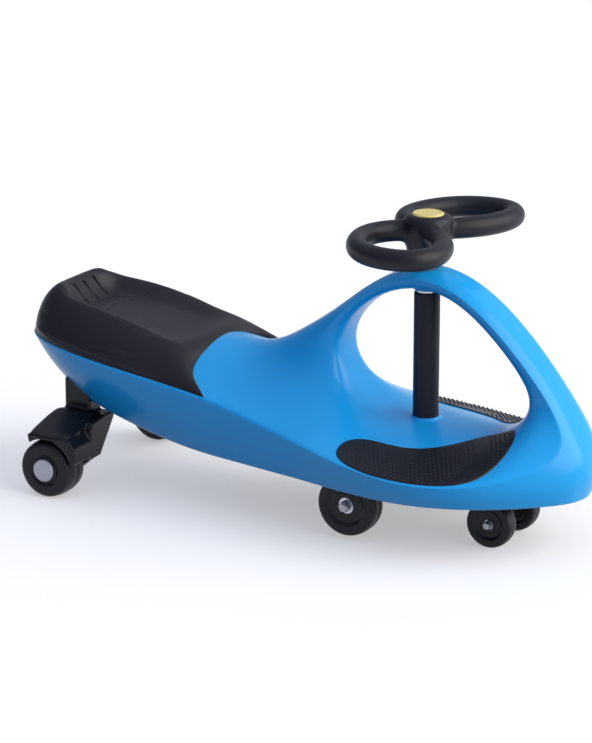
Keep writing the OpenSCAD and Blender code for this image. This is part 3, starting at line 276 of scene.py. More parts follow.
# The same plastic with a coarser leather-like grain for the hands
GRIP_PP = Moulded(
    "grained_black_grip_polypropylene", "#1A1B21", "#15161C", roughness=0.43, spread=0.05,
    grain_mm=1.1, grain_depth_mm=0.16, cloud_mm=40.0, level=0.29, bump=0.45,
)
# Smooth black polypropylene of legs, brackets and hubs: deeper black, sharper highlight spots
LEG_PP = Moulded(
    "moulded_black_leg_polypropylene", "#101116", "#0D0E12", roughness=0.28, spread=0.05,
    grain_mm=1.6, grain_depth_mm=0.05, cloud_mm=45.0, level=0.28, bump=0.18,
)
# Extruded sleeve of the column: dull bluish black with a fine grain
SLEEVE_PP = Moulded(
    "extruded_black_sleeve_polypropylene", "#1A1B23", "#16171F", roughness=0.48, spread=0.04,
    grain_mm=0.8, grain_depth_mm=0.06, cloud_mm=50.0, level=0.26, bump=0.25,
)
# Cast polyurethane tread: slightly bluish black, soft sheen, faint flow marks
TREAD_PU = Moulded(
    "cast_black_polyurethane_tread", "#17181E", "#131419", roughness=0.42, spread=0.05,
    grain_mm=1.3, grain_depth_mm=0.06, cloud_mm=24.0, level=0.28, bump=0.25, ior=1.50,
)
# Moulded rubber mat: dull black with a fine matt grain
PAD_RUBBER = Moulded(
    "moulded_black_rubber_mat", "#14151A", "#111216", roughness=0.38, spread=0.04,
    grain_mm=0.8, grain_depth_mm=0.07, cloud_mm=30.0, level=0.35, bump=0.35, ior=1.52,
)
# Glossy ABS disc, pale yellow
CAP_ABS = Moulded(
    "moulded_yellow_abs", "#DECD78", "#DAC870", roughness=0.30, spread=0.03,
    grain_mm=1.8, grain_depth_mm=0.03, cloud_mm=30.0, level=0.35, bump=0.10, ior=1.53,
)
# Bright chrome-plated bearing steel with turning marks
BRIGHT_STEEL = Plated(
    "bright_plated_steel", "#C4C6CA", "#AEB0B5", roughness=0.24,
    metallic=1.0, mark_mm=0.8, stretch=(1.0, 6.0, 1.0),
)
# Zinc-plated fastener steel: greyer, a little dull
ZINC_STEEL = Plated(
    "zinc_plated_steel", "#A7A9AE", "#8E9096", roughness=0.34,
    metallic=1.0, mark_mm=0.9, stretch=(1.0, 4.0, 1.0),
)
# Silver metallic paint on a moulded cap: even light grey with fine flake
SILVER_PAINT = Plated(
    "silver_metallic_paint", "#B7B8BC", "#A6A7AC", roughness=0.40,
    metallic=0.55, mark_mm=0.6, stretch=(1.0, 1.0, 1.0),
)


# Mesh tools


def clear_selection() -> None:
    """Leaves object mode with nothing selected."""
    if bpy.context.object is not None and bpy.context.object.mode != "OBJECT":
        bpy.ops.object.mode_set(mode="OBJECT")
    bpy.ops.object.select_all(action="DESELECT")


def take(piece: Piece) -> None:
    """Selects one object alone and makes it active."""
    clear_selection()
    piece.select_set(True)
    bpy.context.view_layer.objects.active = piece


def smooth(piece: Piece, degrees: float = 34.0) -> Piece:
    """Shades a piece smooth up to an edge angle.

    Args:
        piece: The mesh object.
        degrees: Edges sharper than this stay sharp.

    Returns:
        The same object.
    """
    take(piece)
    bpy.ops.object.shade_smooth_by_angle(angle=math.radians(degrees))
    return piece


def change(piece: Piece, kind: str, **settings: Any) -> None:
    """Adds a modifier to a piece, sets it and applies it.

    Args:
        piece: The mesh object.
        kind: The modifier's type name.
        settings: Its settings by name.
    """
    take(piece)
    made = piece.modifiers.new(kind.lower(), kind)
    for key, value in settings.items():
        setattr(made, key, value)
    bpy.ops.object.modifier_apply(modifier=made.name)


def flow(piece: Piece, voxel: float, rounds: int) -> None:
    """Melts welded pieces into one moulding with soft inner corners.

    Args:
        piece: The mesh object.
        voxel: Cell size of the new mesh in millimetres.
        rounds: How often it is smoothed.
    """
    change(piece, "REMESH", mode="VOXEL", voxel_size=voxel * MM)
    change(piece, "SMOOTH", factor=0.5, iterations=rounds)


def mend(piece: Piece, weld: bool = False) -> None:
    """Turns a mesh's faces outward.

    Args:
        piece: The mesh object.
        weld: Whether points that coincide are joined first.
    """
    take(piece)
    bpy.ops.object.mode_set(mode="EDIT")
    bpy.ops.mesh.select_all(action="SELECT")
    if weld:
        bpy.ops.mesh.remove_doubles(threshold=WELD)
    bpy.ops.mesh.normals_make_consistent(inside=False)
    bpy.ops.object.mode_set(mode="OBJECT")


def wrap(rings: int, count: int, endless: bool = False) -> List[List[int]]:
    """Faces over a row of rings of points.

    Args:
        rings: Number of rings.
        count: Points in each ring.
        endless: Whether the last ring meets the first; otherwise both ends get a lid.

    Returns:
        Point numbers of each face.
    """
    total = rings * count
    faces = []
    for i in range(rings if endless else rings - 1):
        a, b = i * count, (i + 1) * count % total
        faces += [[a + k, a + (k + 1) % count, b + (k + 1) % count, b + k] for k in range(count)]
    if not endless:
        faces += [list(range(count)), list(range(total - 1, total - count - 1, -1))]
    return faces


def from_points(name: str, points: Sequence[Point], faces: Sequence[Sequence[int]]) -> Piece:
    """Makes an object from points in millimetres.

    Args:
        name: The object's name.
        points: Points with X counted from the steering axis.
        faces: Corner numbers of each face.

    Returns:
        The new object, at the origin.
    """
    mesh = bpy.data.meshes.new(name)
    places = [((x + AXIS_X) * MM, y * MM, z * MM) for x, y, z in points]
    mesh.from_pydata(places, [], [list(f) for f in faces])
    made = bpy.data.objects.new(name, mesh)
    bpy.context.scene.collection.objects.link(made)
    mend(made)
    return made


def rounded(corners: Sequence[Corner], steps: int = 5) -> Profile:
    """Rounds the corners of a closed profile.

    Args:
        corners: Radius from the axle, place along it and rounding of each corner, in millimetres.
        steps: Pieces in each rounding.

    Returns:
        The profile's points.
    """
    out: Profile = []
    count = len(corners)
    for i, (r, a, size) in enumerate(corners):
        here = np.array((r, a))
        if size <= 0:
            out.append((r, a))
            continue
        back = np.array(corners[i - 1][:2]) - here
        ahead = np.array(corners[(i + 1) % count][:2]) - here
        lb, la = np.linalg.norm(back), np.linalg.norm(ahead)
        turn = math.acos(max(-1.0, min(1.0, float(back @ ahead) / (lb * la))))
        reach = min(size / math.tan(turn / 2), 0.49 * lb, 0.49 * la)
        start, end = here + back / lb * reach, here + ahead / la * reach
        for k in range(steps + 1):
            t = k / steps
            p = (1 - t) ** 2 * start + 2 * t * (1 - t) * here + t * t * end
            out.append((float(p[0]), float(p[1])))
    return out


def turned(
    name: str, profile: Profile, centre: Point, axle: Axle, side: Side = Side.LEFT, steps: int = 96
) -> Piece:
    """Spins a closed profile round an axle, as on a lathe.

    Args:
        name: The object's name.
        profile: Radius and place along the axle of each point, in millimetres.
        centre: A point on the axle, X counted from the steering axis.
        axle: The axle's direction.
        side: The side that places along a cross axle count towards.
        steps: Facets round the axle.

    Returns:
        The new object.
    """
    clear_selection()
    bpy.ops.mesh.primitive_circle_add(vertices=len(profile), radius=1.0, fill_type="NOTHING")
    made = bpy.context.object
    made.name = name
    x, y, z = centre[0] + AXIS_X, centre[1], centre[2]
    for vertex, (r, a) in zip(made.data.vertices, profile):
        if axle is Axle.ACROSS:
            vertex.co = (x * MM, (y + side.value * a) * MM, (z + r) * MM)
        else:
            vertex.co = ((x + r) * MM, y * MM, (z + a) * MM)
    bpy.ops.object.mode_set(mode="EDIT")
    bpy.ops.mesh.select_all(action="SELECT")
    bpy.ops.mesh.spin(steps=steps, angle=2 * math.pi, center=(x * MM, y * MM, z * MM), axis=axle.value)
    bpy.ops.object.mode_set(mode="OBJECT")
    mend(made, weld=True)
    return smooth(made)


def prism(name: str, outline: Sequence[Tuple[float, float]], low: float, high: float) -> Piece:
    """Raises a flat outline into a block.

    Args:
        name: The object's name.
        outline: Points of the outline, X counted from the steering axis.
        low: Height of the lower face.
        high: Height of the upper face.

    Returns:
        The new object.
    """
    clear_selection()
    bpy.ops.mesh.primitive_circle_add(vertices=len(outline), radius=1.0, fill_type="NGON")
    made = bpy.context.object
    made.name = name
    for vertex, (x, y) in zip(made.data.vertices, outline):
        vertex.co = ((x + AXIS_X) * MM, y * MM, low * MM)
    bpy.ops.object.mode_set(mode="EDIT")
    bpy.ops.mesh.select_all(action="SELECT")
    bpy.ops.mesh.extrude_region_move(TRANSFORM_OT_translate={"value": (0.0, 0.0, (high - low) * MM)})
    bpy.ops.object.mode_set(mode="OBJECT")
    mend(made)
    return made


def drum(name: str, width: float, low: float, high: float) -> Piece:
    """An upright round block about the steering axis, for cutting bores.

    Args:
        name: The object's name.
        width: Diameter in millimetres.
        low: Height of the lower face.
        high: Height of the upper face.

    Returns:
        The new object.
    """
    r, h = width / 2, high - low
    return turned(name, [(0.0, 0.0), (r, 0.0), (r, h), (0.0, h)], (0.0, 0.0, low), Axle.UPRIGHT)


def combine(target: Piece, tool: Piece, operation: str = "DIFFERENCE") -> None:
    """Cuts a tool out of a piece or welds it on, and removes the tool.

    Args:
        target: The piece.
        tool: The closed mesh to cut or weld with.
        operation: DIFFERENCE or UNION.
    """
    before = len(target.data.vertices)
    change(target, "BOOLEAN", operation=operation, object=tool, solver="MANIFOLD")
    if len(target.data.vertices) in (0, before):
        LOG.warning("%s: %s with %s changed nothing", target.name, operation.lower(), tool.name)
    bpy.data.objects.remove(tool)


def softened(node: str, width: float, degrees: float = 28.0, flat: float = 0.5) -> Piece:
    """Copies a CAD node and rounds its edges.

    Args:
        node: The CAD node's name.
        width: Width of the rounded edges in millimetres.
        degrees: Only edges sharper than this are rounded.
        flat: Faces that meet at a smaller angle are joined first.

    Returns:
        The new object.
    """
    made = bpy.data.objects.new(node + "_moulded", frame["nodes"][node].data.copy())
    bpy.context.scene.collection.objects.link(made)
    take(made)
    bpy.ops.object.mode_set(mode="EDIT")
    bpy.ops.mesh.select_all(action="SELECT")
    bpy.ops.mesh.remove_doubles(threshold=WELD)
    bpy.ops.mesh.dissolve_limited(angle_limit=math.radians(flat))
    bpy.ops.object.mode_set(mode="OBJECT")
    limit = math.radians(degrees)
    change(made, "BEVEL", width=width * MM, segments=2, limit_method="ANGLE", angle_limit=limit)
    return smooth(made)


def mirrored(piece: Piece, name: str) -> Piece:
    """Copies a piece to the other side of the car.

    Args:
        piece: The piece on the right side.
        name: The copy's name.

    Returns:
        The copy, with its own mesh.
    """
    mesh = piece.data.copy()
    mesh.transform(Matrix.Scale(-1.0, 4, (0.0, 1.0, 0.0)))
    mesh.flip_normals()
    made = bpy.data.objects.new(name, mesh)
    bpy.context.scene.collection.objects.link(made)
    return made


def fit(piece: Piece, body: str, finish: Finish, slot: str, *nodes: str) -> Piece:
    """Dresses a piece, sets it on its body and lets it stand for CAD nodes.

    Args:
        piece: The finished mesh object.
        body: The CAD body that it moves with.
        finish: The finish that it wears.
        slot: The record's material slot; not used.
        nodes: The CAD nodes that it stands for.

    Returns:
        The same object.
    """
    piece.data.materials.clear()
    piece.data.materials.append(finish.material())
    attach(piece, body)
    if nodes:
        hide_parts(*nodes)
    LOG.info("%s rides on %s, %d faces", piece.name, body, len(piece.data.polygons))
    return piece


# Curves of the body


def blend4(c: Sequence[np.ndarray], u: float) -> np.ndarray:
    """Point of a uniform cubic curve between the middle two of four leading points."""
    v = 1 - u
    second, third = 3 * u**3 - 6 * u**2 + 4, 3 * v**3 - 6 * v**2 + 4
    return (v**3 * c[0] + second * c[1] + third * c[2] + u**3 * c[3]) / 6


def curve_at(c: np.ndarray, t: float) -> np.ndarray:
    """Point of the curve led by a list of points, t counting them from zero."""
    i = min(max(int(math.floor(t)), 1), len(c) - 3)
    return blend4(c[i - 1 : i + 3], t - i)


def closed_curve(c: np.ndarray, steps: int) -> np.ndarray:
    """Points round a closed curve led by a list of points."""
    n = len(c)
    leads = [[c[(i + j) % n] for j in (-1, 0, 1, 2)] for i in range(n)]
    return np.array([blend4(lead, k / steps) for lead in leads for k in range(steps)])


def step(t: float, start: float = 0.0, length: float = 1.0) -> float:
    """Smooth step from 0 to 1 as t runs over a stretch."""
    t = min(1.0, max(0.0, (t - start) / length))
    return t * t * (3 - 2 * t)


def bell(t: float) -> float:
    """Smooth bump of height 1 at t = 0."""
    return math.exp(-t * t)


def led(c: np.ndarray) -> np.ndarray:
    """A table with its ends repeated outward."""
    return np.vstack([2 * c[0] - c[1], c, 2 * c[-1] - c[-2]])


# Hull stations from tail to nose as shares of body length, half width and arch height:
# x, top z, root y, root z, rim y, rim z, bilge y, bilge z, sole y, sole z, keel z
HULL = np.array([
    [-0.707, 0.560, 0.12, 0.560, 0.28, 0.575, 0.24, 0.515, 0.15, 0.455, 0.445],
    [-0.668, 0.560, 0.30, 0.560, 0.59, 0.580, 0.52, 0.500, 0.34, 0.405, 0.390],
    [-0.565, 0.540, 0.44, 0.540, 0.76, 0.555, 0.70, 0.450, 0.52, 0.335, 0.318],
    [-0.390, 0.645, 0.40, 0.605, 0.78, 0.505, 0.73, 0.376, 0.60, 0.243, 0.235],
    [-0.290, 0.600, 0.17, 0.580, 0.78, 0.470, 0.74, 0.350, 0.65, 0.233, 0.226],
    [-0.240, 0.600, 0.30, 0.550, 0.79, 0.435, 0.76, 0.328, 0.69, 0.231, 0.225],
    [-0.188, 0.600, 0.36, 0.525, 0.81, 0.405, 0.79, 0.312, 0.73, 0.229, 0.223],
    [-0.135, 0.600, 0.38, 0.490, 0.86, 0.380, 0.83, 0.300, 0.77, 0.227, 0.221],
    [-0.080, 0.425, 0.34, 0.435, 0.94, 0.358, 0.90, 0.290, 0.83, 0.225, 0.220],
    [0.010, 0.420, 0.30, 0.418, 1.01, 0.330, 0.97, 0.280, 0.90, 0.225, 0.220],
    [0.085, 0.420, 0.30, 0.412, 0.98, 0.315, 0.95, 0.272, 0.88, 0.225, 0.220],
    [0.180, 0.425, 0.29, 0.412, 0.79, 0.325, 0.77, 0.275, 0.70, 0.225, 0.220],
    [0.272, 0.400, 0.25, 0.400, 0.31, 0.385, 0.36, 0.300, 0.28, 0.225, 0.220],
    [0.280, 0.378, 0.09, 0.385, 0.18, 0.385, 0.20, 0.300, 0.12, 0.225, 0.220],
])
# How far the nose's middle stands ahead of the last station, and the tail's underside ahead of its rim
NOSE_BOW = (0.008, 0.007, 0.004, 0.006, -0.002, 0.003)
TAIL_BOW = (0.0, 0.0, 0.0, 0.018, 0.040, 0.045)
NOSE_FOLD = -0.034
NOSE_FACE = (0.300, 0.013, 0.012)
# Arch rings: outer x, outer z, inner x, inner z, width factor, depth of the edge line
ARCH = np.array([
    [-0.222, 0.690, -0.128, 0.540, 1.25, 0.36],
    [-0.150, 0.800, -0.152, 0.700, 1.00, 0.36],
    [-0.070, 0.953, -0.085, 0.870, 0.98, 0.36],
    [0.005, 1.003, 0.000, 0.930, 1.00, 0.36],
    [0.085, 0.945, 0.070, 0.885, 1.00, 0.36],
    [0.155, 0.815, 0.130, 0.770, 1.02, 0.34],
    [0.2165, 0.655, 0.183, 0.635, 1.00, 0.28],
    [0.261, 0.500, 0.197, 0.520, 1.02, 0.10],
])
# Arch section from outer middle to inner middle: depth share and width share
SECTION = ((0, 0), (0.16, 0.62), (0.6, 0.86), (1, 1), (0.5, 0.97), (0.97, 0.78), (1.03, 0))


@dataclass
class HullLines:
    """The cage that the body's skin is drawn from, in millimetres from the steering axis."""

    length: float = 800.0
    width: float = 320.0
    arch: float = 350.0
    base: float = -5.0
    arch_half: float = 32.0
    ring: int = 10
    arch_ring: int = 12
    first_root: int = 4
    last_root: int = 8
    first_nose: int = 11
    last_nose: int = 13
    rim_crease: float = 0.90
    sole_crease: float = 0.70
    ridge_crease: float = 0.92
    points: List[np.ndarray] = field(default_factory=list)
    faces: List[List[int]] = field(default_factory=list)
    creases: Dict[Tuple[int, int], float] = field(default_factory=dict)

    def at(self, x: float, y: float, z: float) -> np.ndarray:
        """Point at shares of the length, half width and arch height."""
        return np.array((x * self.length, y * self.width / 2, self.base + z * self.arch))

    def bow(self, i: int, k: int) -> float:
        """Fore and aft shift of line k at station i."""
        if i < 2:
            return TAIL_BOW[k] / (i + 1)
        if i == self.last_nose:
            return NOSE_BOW[k]
        return NOSE_FOLD if i == self.first_nose and k < 2 else 0.0

    def half(self, i: int, s: int) -> List[np.ndarray]:
        """Top, root, rim, bilge, sole and keel points of a station on one side."""
        h = HULL[i]
        yz = ((0, h[1]), (h[2], h[3]), (h[4], h[5]), (h[6], h[7]), (h[8], h[9]), (0, h[10]))
        return [self.at(h[0] + self.bow(i, k), s * y, z) for k, (y, z) in enumerate(yz)]

    def arch_point(self, i: int, k: int, s: int) -> np.ndarray:
        """Point k of an arch ring on one side."""
        a = ARCH[i]
        d = SECTION[k][0] * a[5] if k < 4 else a[5] + (1 - a[5]) * SECTION[k][0]
        outer, inner = self.at(a[0], 0, a[1]), self.at(a[2], 0, a[3])
        m = outer + (inner - outer) * d
        return np.array((m[0], s * SECTION[k][1] * a[4] * self.arch_half, m[2]))

    def on_hull(self, i: int, k: int) -> int:
        """Number of point k on station i."""
        return i * self.ring + k % self.ring

    def on_arch(self, i: int, k: int) -> int:
        """Number of point k on arch ring i."""
        return len(HULL) * self.ring + i * self.arch_ring + k

    def closed(self, i: int, k: int) -> bool:
        """Tells whether the skin covers the quad after point k of station i."""
        if self.first_root <= i < self.last_root and k in (0, 9):
            return False
        return not (i >= self.first_nose and k in (0, 1, 8, 9))

    def draw(self) -> "HullLines":
        """Lays out the cage's points, faces and edge lines."""
        self.lay_points()
        self.lay_faces()
        self.mark_edges()
        return self

    def lay_points(self) -> None:
        """Lays out the points of the stations, the arch rings and the nose's face."""
        for i in range(len(HULL)):
            right, left = self.half(i, -1), self.half(i, 1)
            self.points += [*right, left[4], left[3], left[2], left[1]]
        for i in range(len(ARCH)):
            self.points += [self.arch_point(i, k, -1) for k in range(7)]
            self.points += [self.arch_point(i, k, 1) for k in range(5, 0, -1)]
        nose = HULL[self.last_nose]
        for reach, y in ((NOSE_FACE[1], 0), (NOSE_FACE[2], -nose[2]), (NOSE_FACE[2], nose[2])):
            self.points.append(self.at(nose[0] + reach, y, NOSE_FACE[0]))

    def lay_faces(self) -> None:
        """Lays out the faces of hull, arch, tail and nose."""
        h, rear, neck = self.on_hull, self.first_root, self.last_root
        apron, nose = self.first_nose, self.last_nose
        for i in range(nose):
            covered = [k for k in range(self.ring) if self.closed(i, k)]
            self.faces += [[h(i, k), h(i, k + 1), h(i + 1, k + 1), h(i + 1, k)] for k in covered]
        hole = [h(rear, 0), *[h(i, 1) for i in range(rear, neck + 1)], h(neck, 0)]
        hole += [h(i, 9) for i in range(neck, rear - 1, -1)]
        foot = [h(nose, 0), h(nose, 1), h(nose, 2), h(apron + 1, 2)]
        foot += [h(apron, k) for k in (2, 1, 0, 9, 8)]
        foot += [h(apron + 1, 8), h(nose, 8), h(nose, 9)]
        rings = [[self.on_arch(i, k) for k in range(self.arch_ring)] for i in range(len(ARCH))]
        loops = [hole, *rings, foot]
        for a, b in zip(loops, loops[1:]):
            self.faces += [[a[k - 1], a[k], b[k], b[k - 1]] for k in (*range(1, self.arch_ring), 0)]
        tail = ((0, 9, 1), (1, 9, 8, 2), (2, 8, 7, 3), (3, 7, 6, 4), (4, 6, 5))
        self.faces += [[h(0, k) for k in face] for face in tail]
        mid = len(self.points) - 3
        right, left = mid + 1, mid + 2
        self.faces += [
            [h(nose, 2), h(nose, 3), right, h(nose, 1)],
            [h(nose, 1), right, mid, h(nose, 0)],
            [h(nose, 3), h(nose, 4), h(nose, 5), mid, right],
            [h(nose, 8), h(nose, 9), left, h(nose, 7)],
            [h(nose, 9), h(nose, 0), mid, left],
            [h(nose, 7), left, mid, h(nose, 5), h(nose, 6)],
        ]

    def mark_edges(self) -> None:
        """Marks the rim, the skirt's lower edge and the arch's ridges as crisp."""
        h, last = self.on_hull, len(ARCH) - 1
        for rim, edge, sole, ridge in ((2, 3, 4, 1), (8, 9, 6, 11)):
            line = [h(i, rim) for i in range(self.last_nose)]
            line += [self.on_arch(i, edge) for i in range(last, 0, -1)]
            self.crease(line, self.rim_crease)
            self.crease([h(i, sole) for i in range(1, self.last_nose + 1)], self.sole_crease)
            self.crease([self.on_arch(i, ridge) for i in range(1, last)], self.ridge_crease)
        self.crease([h(0, 2), h(0, 8)], self.rim_crease)
        self.crease([h(self.last_nose, k) for k in (4, 5, 6)], self.sole_crease)

    def crease(self, line: Sequence[int], weight: float) -> None:
        """Marks the edges along a line of points as crisp.

        Args:
            line: Point numbers in order.
            weight: How crisp the edge stays, from 0 to 1.
        """
        for a, b in zip(line, line[1:]):
            self.creases[(min(a, b), max(a, b))] = weight

    def rim(self) -> np.ndarray:
        """Leading points of the rim from the tail along the right side."""
        first = [self.half(1, 1)[2], self.half(0, 1)[2]]
        return np.array(first + [self.half(i, -1)[2] for i in range(self.first_nose + 1)])

    def sole(self) -> np.ndarray:
        """Leading points of the skirt's lower edge along the right side."""
        line = [self.half(i, -1)[4] for i in range(1, self.last_nose + 1)]
        return np.array(line + [self.half(self.last_nose, -1)[5], self.half(self.last_nose, 1)[4]])

    def cover_line(self, inset: float, start: float = 2.45, count: int = 60) -> List[Tuple[float, float]]:
        """Outline of the underbody cover.

        Args:
            inset: Distance inside the skirt's lower edge.
            start: Station where the cover begins.
            count: Points on one side.

        Returns:
            The outline's points.
        """
        line = self.sole()

        def inside(t: float) -> Tuple[float, float]:
            """Point at an inset from the skirt's edge."""
            p, g = curve_at(line, t), curve_at(line, t + NUDGE) - curve_at(line, t - NUDGE)
            q = inset * np.array((-g[1], g[0])) / math.hypot(g[0], g[1])
            return (float(p[0] + q[0]), float(min(0.0, p[1] + q[1])))

        first = inside(start)
        half = [(first[0] + inset, first[1])]
        half += [inside(start + (self.last_nose - start) * k / count) for k in range(1, count + 1)]
        return half + [(x, -y) for x, y in reversed(half[:-1])]


@dataclass
class Saddle:
    """The seat: a dished saddle with a backrest hump, grooves and two front horns."""

    lines: HullLines
    rise: float = 68.0
    dish: float = 16.0
    dish_half: float = 0.62
    hump: float = 24.0
    hump_half: float = 0.85
    drop: float = 4.0
    lip: float = 2.5
    slack: float = 0.15
    horn: float = 41.0
    horn_from: float = 0.46
    horn_bends: Tuple[float, float] = (3, 1.5)
    span: Tuple[float, float] = (1.56, 5.76)
    rows: int = 200
    cols: int = 64
    recess_reach: float = 1.001
    recess_rows: int = 60
    recess_cols: int = 24
    edge_bend: Tuple[float, float] = (4.8, -2.2)
    edge_root: Tuple[float, float] = (0.5, 0.2)
    crest_at: float = 0.60
    wall: float = 0.34
    wall_out: float = 0.06
    skirt: float = 7.0
    flank_bend: float = 1.45
    hollow_x: float = -524.0
    hollow_sweep: float = 24.0
    hollow_fade: float = 40.0
    bulge_at: Tuple[float, float] = (-509.0, 50.0)
    bulge_high: float = 6.0
    bulge_wide: float = 13.0
    half_width: float = 120.0
    bead_high: float = 3.2
    bead_wide: float = 2.2
    oval_x: float = -380.0
    oval: Tuple[float, float] = (84.0, 80.0)
    oval_deep: float = 1.1
    oval_wide: float = 1.5
    oval_turn: float = 118.0
    oval_fade: float = 12.0
    line_deep: float = 0.7
    line_wide: float = 1.2
    line_fade: float = 14.0
    groove_pitch: float = 23.0
    groove_w: float = 7.0
    groove_len: float = 27.0
    groove_x: float = -502.0
    slope_at: float = 0.4

    # Along the seat from tail to horns: crest, dish and hump as shares of their heights
    SHARES = np.array([
        [0.05, 0, 0], [0.40, 0, 0], [0.64, 0, 0.30], [0.68, 0, 1], [0.80, 0.8, 0.05],
        [0.97, 1.1, 0], [1.04, 1.1, 0], [0.92, 0.5, 0], [0.58, 0, 0],
    ])
    # Height of the hollow's crest above the rim and depth of its floor, from tail to horns
    CRESTS = np.array([
        [8, 8], [26, 8], [44, 12], [54, 18], [56, 18], [55, 15], [50, 10], [38, 3], [25, 0],
    ], float)
    # Where a form comes in or fades, as shares along or across the seat: start and length
    FLANK_FADE = (0.5, 0.25)
    HORN_FADE = (0.76, 0.22)
    BEAD_FADE = (0.55, 0.4)
    # Short sunk lines beside the hollow: start, end and distance from the centre line
    SIDE_LINES = ((-439, -383, 112), (-425, -357, 106), (-385, -345, 111))

    def plan(self, u: float, s: float, lip: float) -> np.ndarray:
        """Point of the seat's outline field at shares along and across it.

        Args:
            u: Share along the seat from the tail.
            s: Share across it, from -1 to 1.
            lip: Distance inside the body's rim.

        Returns:
            The point at the rim's height.
        """
        t = self.span[0] + (self.span[1] - self.span[0]) * u
        p, q = curve_at(self.rim, t), curve_at(self.rim, t + NUDGE)
        d = q - p
        e = p + lip * np.array((-d[1], d[0], 0)) / math.hypot(d[0], d[1])
        near = max(0.0, (abs(s) - self.horn_from) / (1 - self.horn_from))
        ramp = max(0.0, (u - 0.5) * 2)
        cut = self.horn * (1 - near ** self.horn_bends[0]) * ramp ** self.horn_bends[1]
        return np.array((e[0] - cut, -s * e[1], e[2]))

    def top(self, u: float, s: float) -> float:
        """Height of the plain seat above the rim at shares along and across it."""
        crest, dish, hump = curve_at(self.table, 1 + u * (len(self.SHARES) - 1))
        bend, root = (first + more * u for first, more in (self.edge_bend, self.edge_root))
        edge = max(0.0, 1 - abs(s) ** bend) ** root
        mid = max(0.0, 1 - (s / self.dish_half) ** 2)
        back = max(0.0, 1 - (s / self.hump_half) ** 4)
        return float(self.rise * crest * edge - self.dish * dish * mid + self.hump * hump * back)

    def slab(
        self, name: str, lip: float, reach: float, rows: int, cols: int,
        high: Callable[[float, float, np.ndarray], float], low: float,
    ) -> Piece:
        """Closed block over the seat's outline.

        Args:
            name: The object's name.
            lip: Distance inside the body's rim.
            reach: Share of the seat's length that it covers.
            rows: Steps along.
            cols: Steps across each half.
            high: Height of the top above the rim, from the two shares and the plan point.
            low: Height of the underside above the rim.

        Returns:
            The new object.
        """
        across = [math.sin(math.pi / 2 * j / cols) for j in range(-cols, cols + 1)]
        along = [reach * i / rows for i in range(rows + 1)]
        grid = [(u, s, self.plan(u, s, lip)) for u in along for s in across]
        c, n = len(across), len(grid)
        points = [(p[0], p[1], p[2] + high(u, s, p)) for u, s, p in grid]
        points += [(p[0], p[1], p[2] + low) for u, s, p in grid]
        faces = []
        for i in range(rows):
            for a in range(i * c, i * c + c - 1):
                faces.append([a, a + 1, a + c + 1, a + c])
                faces.append([n + a + c, n + a + c + 1, n + a + 1, n + a])
        border = list(range(c)) + [i * c + c - 1 for i in range(1, rows + 1)]
        border += [rows * c + j for j in range(c - 2, -1, -1)] + [i * c for i in range(rows - 1, 0, -1)]
        faces += [[n + a, n + b, b, a] for a, b in zip(border, border[1:] + border[:1])]
        return from_points(name, points, faces)

    def prepare(self) -> "Saddle":
        """Works out the curves that the seat follows."""
        self.rim = self.lines.rim()
        self.table = led(self.SHARES)
        self.crests = led(self.CRESTS)
        return self

    def recess(self) -> Piece:
        """Cutter for the seat's recess in the body."""
        lip, low, high = self.lip - self.slack, -self.drop - self.slack, self.rise + self.hump
        size = (self.recess_reach, self.recess_rows, self.recess_cols)
        return self.slab("seat_recess", lip, *size, lambda u, s, p: high, low)

    def bowl(self, u: float, s: float) -> float:
        """Height of the sitting hollow above the rim: sloping flanks, their crests and a flat floor."""
        crest, depth = curve_at(self.crests, 1 + u * (len(self.CRESTS) - 1))
        out = max(0.0, (abs(s) - self.crest_at) / (1 - self.crest_at))
        skirt = self.skirt * (1 - u)
        wall = step((self.crest_at + self.wall_out - abs(s)) / self.wall)
        return float(skirt + (crest - skirt) * (1 - out**self.flank_bend) - depth * wall)

    def raised(self, u: float, s: float, p: np.ndarray) -> float:
        """Height of the backrest's two bulges and of the bead along the edge."""
        x, y = self.bulge_at
        wide = self.bulge_wide * math.sqrt(2)
        bulges = sum(bell(math.hypot(p[0] - x, p[1] - side.value * y) / wide) for side in Side)
        bead = bell((1 - abs(s)) * self.half_width / self.bead_wide) * (1 - step(u, *self.BEAD_FADE))
        return self.bulge_high * bulges + self.bead_high * bead

    def sunk(self, p: np.ndarray) -> float:
        """Depth of the oval line in the hollow and of the short lines beside it."""
        x, y = p[0] - self.oval_x, p[1]
        off = (math.hypot(x / self.oval[0], y / self.oval[1]) - 1) * sum(self.oval) / 2
        shown = step((self.oval_turn - abs(math.degrees(math.atan2(y, -x)))) / self.oval_fade)
        depth = self.oval_deep * bell(off / self.oval_wide) * shown
        for start, end, out in self.SIDE_LINES:
            along = step(p[0], start, self.line_fade) * step((end - p[0]) / self.line_fade)
            depth += self.line_deep * bell((abs(y) - out) / self.line_wide) * along
        return depth

    def detail(self, u: float, s: float, p: np.ndarray) -> float:
        """Height of the dressed seat: backrest, hollow, bulges, edge bead and the sunk lines."""
        plain = self.top(u, s)
        start = self.hollow_x - self.hollow_sweep * step(abs(s), *self.FLANK_FADE)
        z = plain + (self.bowl(u, s) - plain) * step(p[0], start, self.hollow_fade)
        z += (plain - z) * step(u, *self.HORN_FADE)
        return z + self.raised(u, s, p) - self.sunk(p)

    def build(self) -> Piece:
        """Models the seat with its backrest grooves."""
        seat = self.slab("seat_moulding", self.lip, 1.0, self.rows, self.cols, self.detail, -self.drop)
        skin = BVHTree.FromObject(seat, bpy.context.evaluated_depsgraph_get())
        for groove in [self.groove(k, skin) for k in (-1, 0, 1)]:
            combine(seat, groove)
        return smooth(seat, 40)

